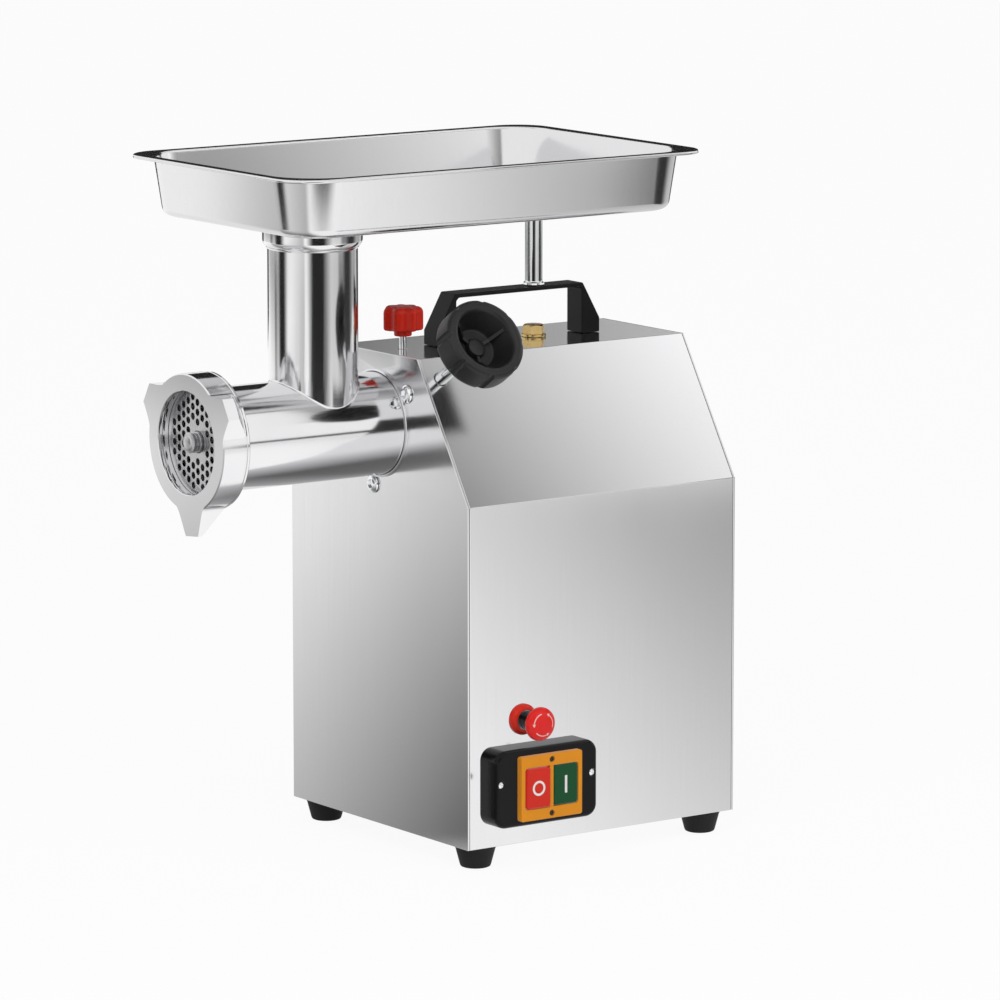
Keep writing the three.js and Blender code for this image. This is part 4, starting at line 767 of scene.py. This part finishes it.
for name, side, proud, slot, finish in (("stop", -1, 1.2, "red_plastic", red),
                                        ("start", 1, 0.0, "green_plastic", green)):
    y, top = SWITCH_Y + side * KEY_Y, bezel_front + proud
    rims = [(20.2, 28.4, 1.9, box_front - 5), (20.8, 29.0, 2.2, box_front - 4), (20.8, 29.0, 2.2, top - 1.6),
            (20.4, 28.6, 2.0, top - 0.7), (19.2, 27.4, 1.5, top - 0.1), (18.6, 26.8, 1.3, top),
            (17.4, 25.6, 1.0, top - 0.25)]
    button = bmesh.new()
    loops = [outline(button, soft_rect(y, SWITCH_Z, w, h, r, 6), onto_side(x)) for w, h, r, x in rims]
    for near, far in zip(loops, loops[1:]):
        bmesh.ops.bridge_loops(button, edges=near + far)
    for rim in (loops[0], loops[-1]):
        bmesh.ops.edgeloop_fill(button, edges=rim)
    keep(button, f"{name}_key", name, finish, [f"{name}_button"], crease=50)
    mark = bmesh.new()
    marks = [soft_rect(y, SWITCH_Z, 2.0, 12.6, 0.3, 2)] if name == "start" else \
        [ring_points(y, SWITCH_Z, 5.4, 64), ring_points(y, SWITCH_Z, 3.8, 64)]
    slab(mark, marks, onto_side(top - 0.5), (0.4, 0, 0))
    keep(mark, f"{name}_mark", name, white_ink)
dress(moulded("cream_plastic", (0.62, 0.57, 0.44), 0.42), "switch_block", "estop_block")

# ---- Emergency stop -----------------------------------------------------------------------------
# A push-and-twist stop: red collar on the casing, black neck and a bright red mushroom head. Three
# plain arc arrows printed round the head show which way it turns to release.
REACH = HALF_W + 28.0
collar, neck, head = bmesh.new(), bmesh.new(), bmesh.new()
at = (0, ESTOP_Y, ESTOP_Z)
spun(collar, [(7.3, 95.4), (8.4, 95.4), (8.4, HALF_W + 0.3), (11.0, HALF_W + 0.3), (11.2, HALF_W + 0.8),
              (11.2, HALF_W + 3.4), (10.6, HALF_W + 4.6), (9.2, HALF_W + 6.2), (8.6, HALF_W + 6.5),
              (7.3, HALF_W + 6.5)],
     at, (1, 0, 0), 64, closed=True)
keep(collar, "stop_collar", "machine", red, ["estop_collar"], crease=35)
spun(neck, [(0, 100), (7, 100), (7, HALF_W + 9), (6.6, HALF_W + 9.3), (6.6, HALF_W + 10.3),
            (7, HALF_W + 10.6), (7, REACH - 7.5), (0, REACH - 7.5)], at, (1, 0, 0), 64)
keep(neck, "stop_neck", "estop_plunger", gloss_black, ["estop_neck"], crease=35)
spun(head, [(0, REACH - 7.2), (7.4, REACH - 7.2), (10.8, REACH - 7.2), (11.7, REACH - 6.8),
            (12.0, REACH - 6.0), (12.0, REACH - 4.4), (11.7, REACH - 3.2), (10.9, REACH - 2.2),
            (9.6, REACH - 1.3), (7.6, REACH - 0.6), (4.6, REACH - 0.15), (0, REACH)], at, (1, 0, 0), 72)
cap = Finish("printed_cap", (0.70, 0.014, 0.012), 0.3, Specular_IOR_Level=0.25)
spot = cap.node("ShaderNodeVectorMath", {"operation": "SUBTRACT"},
                cap.node("ShaderNodeTexCoord", out="Object"),
                CENTRE + Vector(at) * MM)
TO_MM, ARROW_R, BAND_HALF, BAND_END = 1000.0, 8.0, 0.42, 1.25
x, y, z = (cap.node("ShaderNodeSeparateXYZ", None, spot, out=k) * TO_MM for k in (0, 1, 2))
radius = (y ** 2 + z ** 2) ** 0.5
sector = cap.node("ShaderNodeMath", {"operation": "FLOORED_MODULO"},
                  cap.node("ShaderNodeMath", {"operation": "ARCTAN2"}, z, y) + 6.6, 2 * math.pi / 3)
offset = cap.node("ShaderNodeMath", {"operation": "ABSOLUTE"}, radius - ARROW_R)
arc = (BAND_HALF - offset).clamped() * 8.0
band = arc.clamped() * (BAND_END - sector > 0.0)
barb = ((1.52 - sector) * 4.6 - offset > 0.0) * (sector > BAND_END)
facing = x > REACH - 4.0
cap.tint(((band + barb) * facing).clamped(), (0.70, 0.014, 0.012), (0.80, 0.50, 0.46))
cap.feed("Roughness", 0.22 + 0.10 * cap.noise(60.0, 4.0))
cap.bump(cap.noise(1500.0, 2.0), 0.01, 0.3)
keep(head, "mushroom_head", "estop_cap", cap.material, ["estop_head"], crease=40)

# ---- Cable gland --------------------------------------------------------------------------------
# A black nylon gland in the rear panel: threaded body through the sheet, hexagon flange outside,
# and a slotted clamping dome over the cable hole.
nylon = moulded("nylon", (0.018, 0.018, 0.019), 0.44)
gland, nut = bmesh.new(), bmesh.new()
at = (-70, 0, FOOT_H + 40)
spun(gland, [(4, HALF_D - 9.5), (8, HALF_D - 9.5), (8, HALF_D + 0.3), (9.6, HALF_D + 0.3),
             (9.6, HALF_D + 7.0), (9.0, HALF_D + 8.6), (7.6, HALF_D + 11.6), (6.4, HALF_D + 13.6),
             (5.8, HALF_D + 14), (4.4, HALF_D + 14), (4, HALF_D + 13.6)], at, (0, 1, 0), 48, closed=True)
slab(nut, [ring_points(at[0], at[2], 11.0, 6, 0.3), ring_points(at[0], at[2], 7.0, 48)],
     lambda u, v: Vector((u, HALF_D + 0.3, v)), (0, 5.6, 0))
keep(carve(gland, nut, "UNION"), "nylon_gland", "machine", nylon, ["cable_gland"], 0.2)

# ---- Motor and gears ----------------------------------------------------------------------------
# Inside stand the motor, painted grey, on a pressed cradle, its capacitor, and two stages of steel
# gears in grease, on plain ball bearings. None of it shows from outside.
machined = Finish("machined_steel", (0.50, 0.50, 0.51), metallic=1.0)
cut_lines = machined.noise(340.0, 3.0, (0.3, 1.0, 0.3))
machined.feed("Roughness", 0.26 + 0.2 * cut_lines)
machined.tint(machined.noise(35.0, 4.0), (0.56, 0.56, 0.57), (0.42, 0.42, 0.43))
machined.bump(cut_lines, 0.03, 0.4)
dress(machined.material, "bearing_output_front", "bearing_output_rear", "bearing_counter_front",
      "bearing_counter_rear", "bearing_motor_front", "bearing_motor_rear", "output_shaft", "output_gear",
      "counter_shaft", "motor_shaft", "motor_cradle")
laminated = Finish("laminations", (0.30, 0.30, 0.31), metallic=1.0)
plies = laminated.node("ShaderNodeTexWave", {"bands_direction": "Y"}, Vector=laminated.place(), Scale=160.0)
laminated.feed("Roughness", 0.38 + 0.15 * laminated.noise(120.0))
laminated.tint(plies, (0.36, 0.36, 0.37), (0.20, 0.20, 0.21))
laminated.bump(plies, 0.08, 0.5)
dress(laminated.material, "stator_core", "rotor_core")
copper = Finish("copper_wire", (0.62, 0.25, 0.12), 0.3, 1.0)
strands = copper.node("ShaderNodeTexWave", {"wave_type": "RINGS", "rings_direction": "Y"}, Scale=220.0,
                      Vector=copper.place(origin=CENTRE + Vector((0, 0, MOTOR_Z)) * MM))
copper.tint(strands, (0.68, 0.28, 0.13), (0.34, 0.12, 0.05))
copper.bump(strands, 0.3, 0.6)
dress(copper.material, "winding_front", "winding_rear")
bronze = Finish("bronze", (0.50, 0.33, 0.16), metallic=1.0)
bronze.feed("Roughness", 0.26 + 0.16 * bronze.noise(200.0, 4.0))
bronze.tint(bronze.noise(50.0), (0.56, 0.37, 0.18), (0.40, 0.25, 0.11))
dress(bronze.material, "counter_wheel")
dress(moulded("grey_enamel", (0.16, 0.17, 0.18), 0.38, grain=120.0, depth=0.15), "motor_housing")
dress(moulded("can_lacquer", (0.36, 0.37, 0.38), 0.4), "capacitor")
dress(nylon, "cooling_fan")

# ---- Floor, backdrop and lamps ------------------------------------------------------------------
# A pale plain floor under an even white surround. Polished steel only shows what stands round it, so
# the floor has a soft tone for reflections, and plain cards that only reflections see stand around.
scene = bpy.context.scene
scene.view_settings.view_transform = "Standard"
world = bpy.data.worlds.new("surround")
world.use_nodes = True
scene.world = world


def ray(finish, kind):
    return finish.node("ShaderNodeLightPath", out=f"Is {kind} Ray")


def either(wire, other, choice):
    return wire * (1.0 - choice) + other * choice


air = Finish("air", tree=world.node_tree)
seen = (ray(air, "Camera") + ray(air, "Glossy") + ray(air, "Transmission")).clamped()
air.tree.nodes["Background"].inputs["Color"].default_value = (1.0, 1.0, 1.0, 1.0)
air.tree.links.new((0.55 + seen * 0.45).socket, air.tree.nodes["Background"].inputs["Strength"])


def staged(bm, name, material):
    mesh = bpy.data.meshes.new(name)
    bm.to_mesh(mesh)
    bm.free()
    mesh.materials.append(material)
    piece = bpy.data.objects.new(name, mesh)
    bpy.context.collection.objects.link(piece)
    return piece


def lit(name, strength, colour=(0.86, 0.86, 0.86)):
    """Matt paper that also glows by the strength that a function of the finish gives."""
    finish = Finish(name, colour, 0.9)
    glow, both = (finish.tree.nodes.new(kind) for kind in ("ShaderNodeEmission", "ShaderNodeMixShader"))
    level, share = strength(finish)
    for wire, socket in ((level, glow.inputs["Strength"]), (share, both.inputs[0])):
        finish.tree.links.new(wire.socket, socket)
    finish.tree.links.new(finish.shader.outputs[0], both.inputs[1])
    finish.tree.links.new(glow.outputs[0], both.inputs[2])
    finish.tree.links.new(both.outputs[0], finish.tree.nodes["Material Output"].inputs["Surface"])
    return finish.material


# Past this distance from the origin, in metres, the floor mirrors as one even tone.
FAR_FLOOR, FAR_TONE = 3.65, 0.92


def floor_tone(finish):
    """White to the eye. In reflections it shades off along and across the two long views, in metres,
    and is an even light grey far away."""
    spot = finish.place(origin=CENTRE)
    x, y = (finish.node("ShaderNodeSeparateXYZ", None, spot, out=k) for k in (0, 1))
    along, over = x * 0.82 + y * 0.57, x * 0.57 - y * 0.82
    away = along * -1.0
    near = 1.0 - ((over - 0.3) * 2.5).clamped()
    fore = 0.50 + away * 0.33 - ((over - 0.033) * 3.1).clamped(-0.2, 0.4) * near
    fore = fore - (away - 2.05).clamped(0, 9) * 1.1
    flank = 1.20 - along * 0.25 + ((over - 0.16) * 1.75).clamped(-0.4, 0.15)
    tone = either(fore, flank, (0.5 + along * 5.0).clamped()).clamped(0.10, 1.1)
    distance = (x ** 2 + y ** 2) ** 0.5
    tone = either(tone, FAR_TONE, ((distance - FAR_FLOOR) * 4.0).clamped())
    camera_ray = (ray(finish, "Camera") + ray(finish, "Transmission")).clamped()
    return either(tone, camera_ray, camera_ray), ray(finish, "Glossy") * 0.95 + camera_ray * 0.93


ground_plane = bmesh.new()
bmesh.ops.create_grid(ground_plane, x_segments=1, y_segments=1, size=12.0)
staged(ground_plane, "floor", lit("floor_paper", floor_tone))


def card(name, centre, across, rise, tones, soft):
    """A card that only reflections see: its place, two edges, corner tones and how far each edge fades."""
    def strength(finish):
        place = finish.node("ShaderNodeTexCoord", out="UV")
        u, v = (finish.node("ShaderNodeSeparateXYZ", None, place, out=k) for k in (0, 1))
        low, high = (u * (tones[k + 1] - tones[k]) + tones[k] for k in (0, 2))
        left, right_side, bottom, top = soft
        nearest = [u / left, (1.0 - u) / right_side, v / bottom, (1.0 - v) / top]
        share = nearest[0]
        for edge in nearest[1:]:
            share = share.math("MINIMUM", share, edge)
        return either(low, high, v), share.clamped()

    material = lit(name, strength)
    tree = material.node_tree
    clear = tree.nodes.new("ShaderNodeBsdfTransparent")
    both = next(n for n in tree.nodes if n.type == "MIX_SHADER")
    tree.links.new(clear.outputs[0], both.inputs[1])
    sheet = bmesh.new()
    bmesh.ops.create_grid(sheet, x_segments=1, y_segments=1, size=0.5)
    sheet_uv = sheet.loops.layers.uv.verify()
    for face in sheet.faces:
        for loop in face.loops:
            loop[sheet_uv].uv = (loop.vert.co.x + 0.5, loop.vert.co.y + 0.5)
    for corner in sheet.verts:
        corner.co = CENTRE + (Vector(centre) + Vector(across) * corner.co.x + Vector(rise) * corner.co.y) * MM
    made = staged(sheet, name, material)
    made.visible_camera = made.visible_diffuse = made.visible_shadow = False
    made.visible_transmission = made.visible_volume_scatter = False


def standing(name, sweep, distance, low, high, tones, soft, about=(0, THROAT_Y)):
    """An upright card that covers a sweep of bearings as seen from a point of the machine."""
    middle, half = math.radians(sum(sweep) / 2), math.radians(abs(sweep[1] - sweep[0]) / 2)
    way = Vector((math.cos(middle), math.sin(middle), 0))
    side = Vector((-math.sin(middle), math.cos(middle), 0))
    card(name, Vector((*about, (low + high) / 2)) + way * distance, side * 2 * distance * math.tan(half),
         (0, 0, high - low), tones, soft)


# Each card matches a dark or bright shape that the photograph's steel mirrors. The bearings, distances
# and tones are given for that view. The card by the knob stands in for a shape mirrored there.
BLACK, EDGE, UP_SLANT = [0.02] * 4, 0.04, Vector((-0.5346, 0, 0.8451))
standing("card_front_left", (-131, -99), 620, 180, 480, BLACK, (0.25, 0.35, 0.1, 0.1))
standing("card_front_right", (-48, 13), 620, 180, 480, BLACK, (0.25, 0.35, 0.1, 0.1))
standing("card_right", (47, 83), 620, 265, 470, [0.04] * 4, (0.25, 0.35, EDGE, EDGE))
standing("card_rear_low", (112, 178), 1500, 150, 330, [0.06] * 4, (EDGE,) * 4)
card("card_by_knob", (108, -64, 378), (0, 27, 0), UP_SLANT * 46, BLACK, (EDGE, 0.3, 0.2, EDGE))
standing("card_horizon", (13, 57), 320, 274, 301, BLACK, (0.1, 0.1, 0.3, 0.3))
standing("card_under_tray", (20, 50), 900, 125, 208, [0.95, 0.85, 0.95, 0.85], (0.1, 0.1, EDGE, EDGE),
         (99, -80))
standing("card_behind", (100, 186), 520, 470, 900, BLACK, (EDGE,) * 4, (0, 0))
standing("card_top", (125, 165), 520, 380, 468, [0.6, 0.1, 0.6, 0.1], (EDGE,) * 4, (0, 0))
card("card_slant", (268, 223, 569), (0, 420, 0), UP_SLANT * 240, [0.02, 1.20, 0.40, 1.45],
     (EDGE,) * 4)
card("card_above", (254, 141, 768), (0, 560, 0), (-70, 0, 36), BLACK, (0.2, 0.2, 0.3, 0.3))
card("card_over", (-180, 141, 780), (0, 560, 0), (42, 0, 14), BLACK, (0.2, 0.2, 0.3, 0.3))

# The side panel in the photograph mirrors none of the switch gear, so no reflection here shows it.
for name in ("moulded_box", "framing_bezel", "stop_key", "start_key", "stop_collar", "stop_neck",
             "mushroom_head"):
    bpy.data.objects[name].visible_glossy = False


def lamp(name, spot, size, watts):
    """A soft square lamp aimed at the machine, which shows in no reflection."""
    light = bpy.data.lights.new(name, "AREA")
    light.size, light.energy = size, watts
    made = bpy.data.objects.new(name, light)
    made.location = Vector(spot)
    made.rotation_euler = (Vector((0, 0, 0.25)) - made.location).to_track_quat("-Z", "Y").to_euler()
    made.visible_glossy = False
    bpy.context.collection.objects.link(made)


lamp("key", (1.2, -1.6, 2.0), 1.2, 22)
lamp("fill", (2.2, 0.9, 1.1), 1.4, 14)
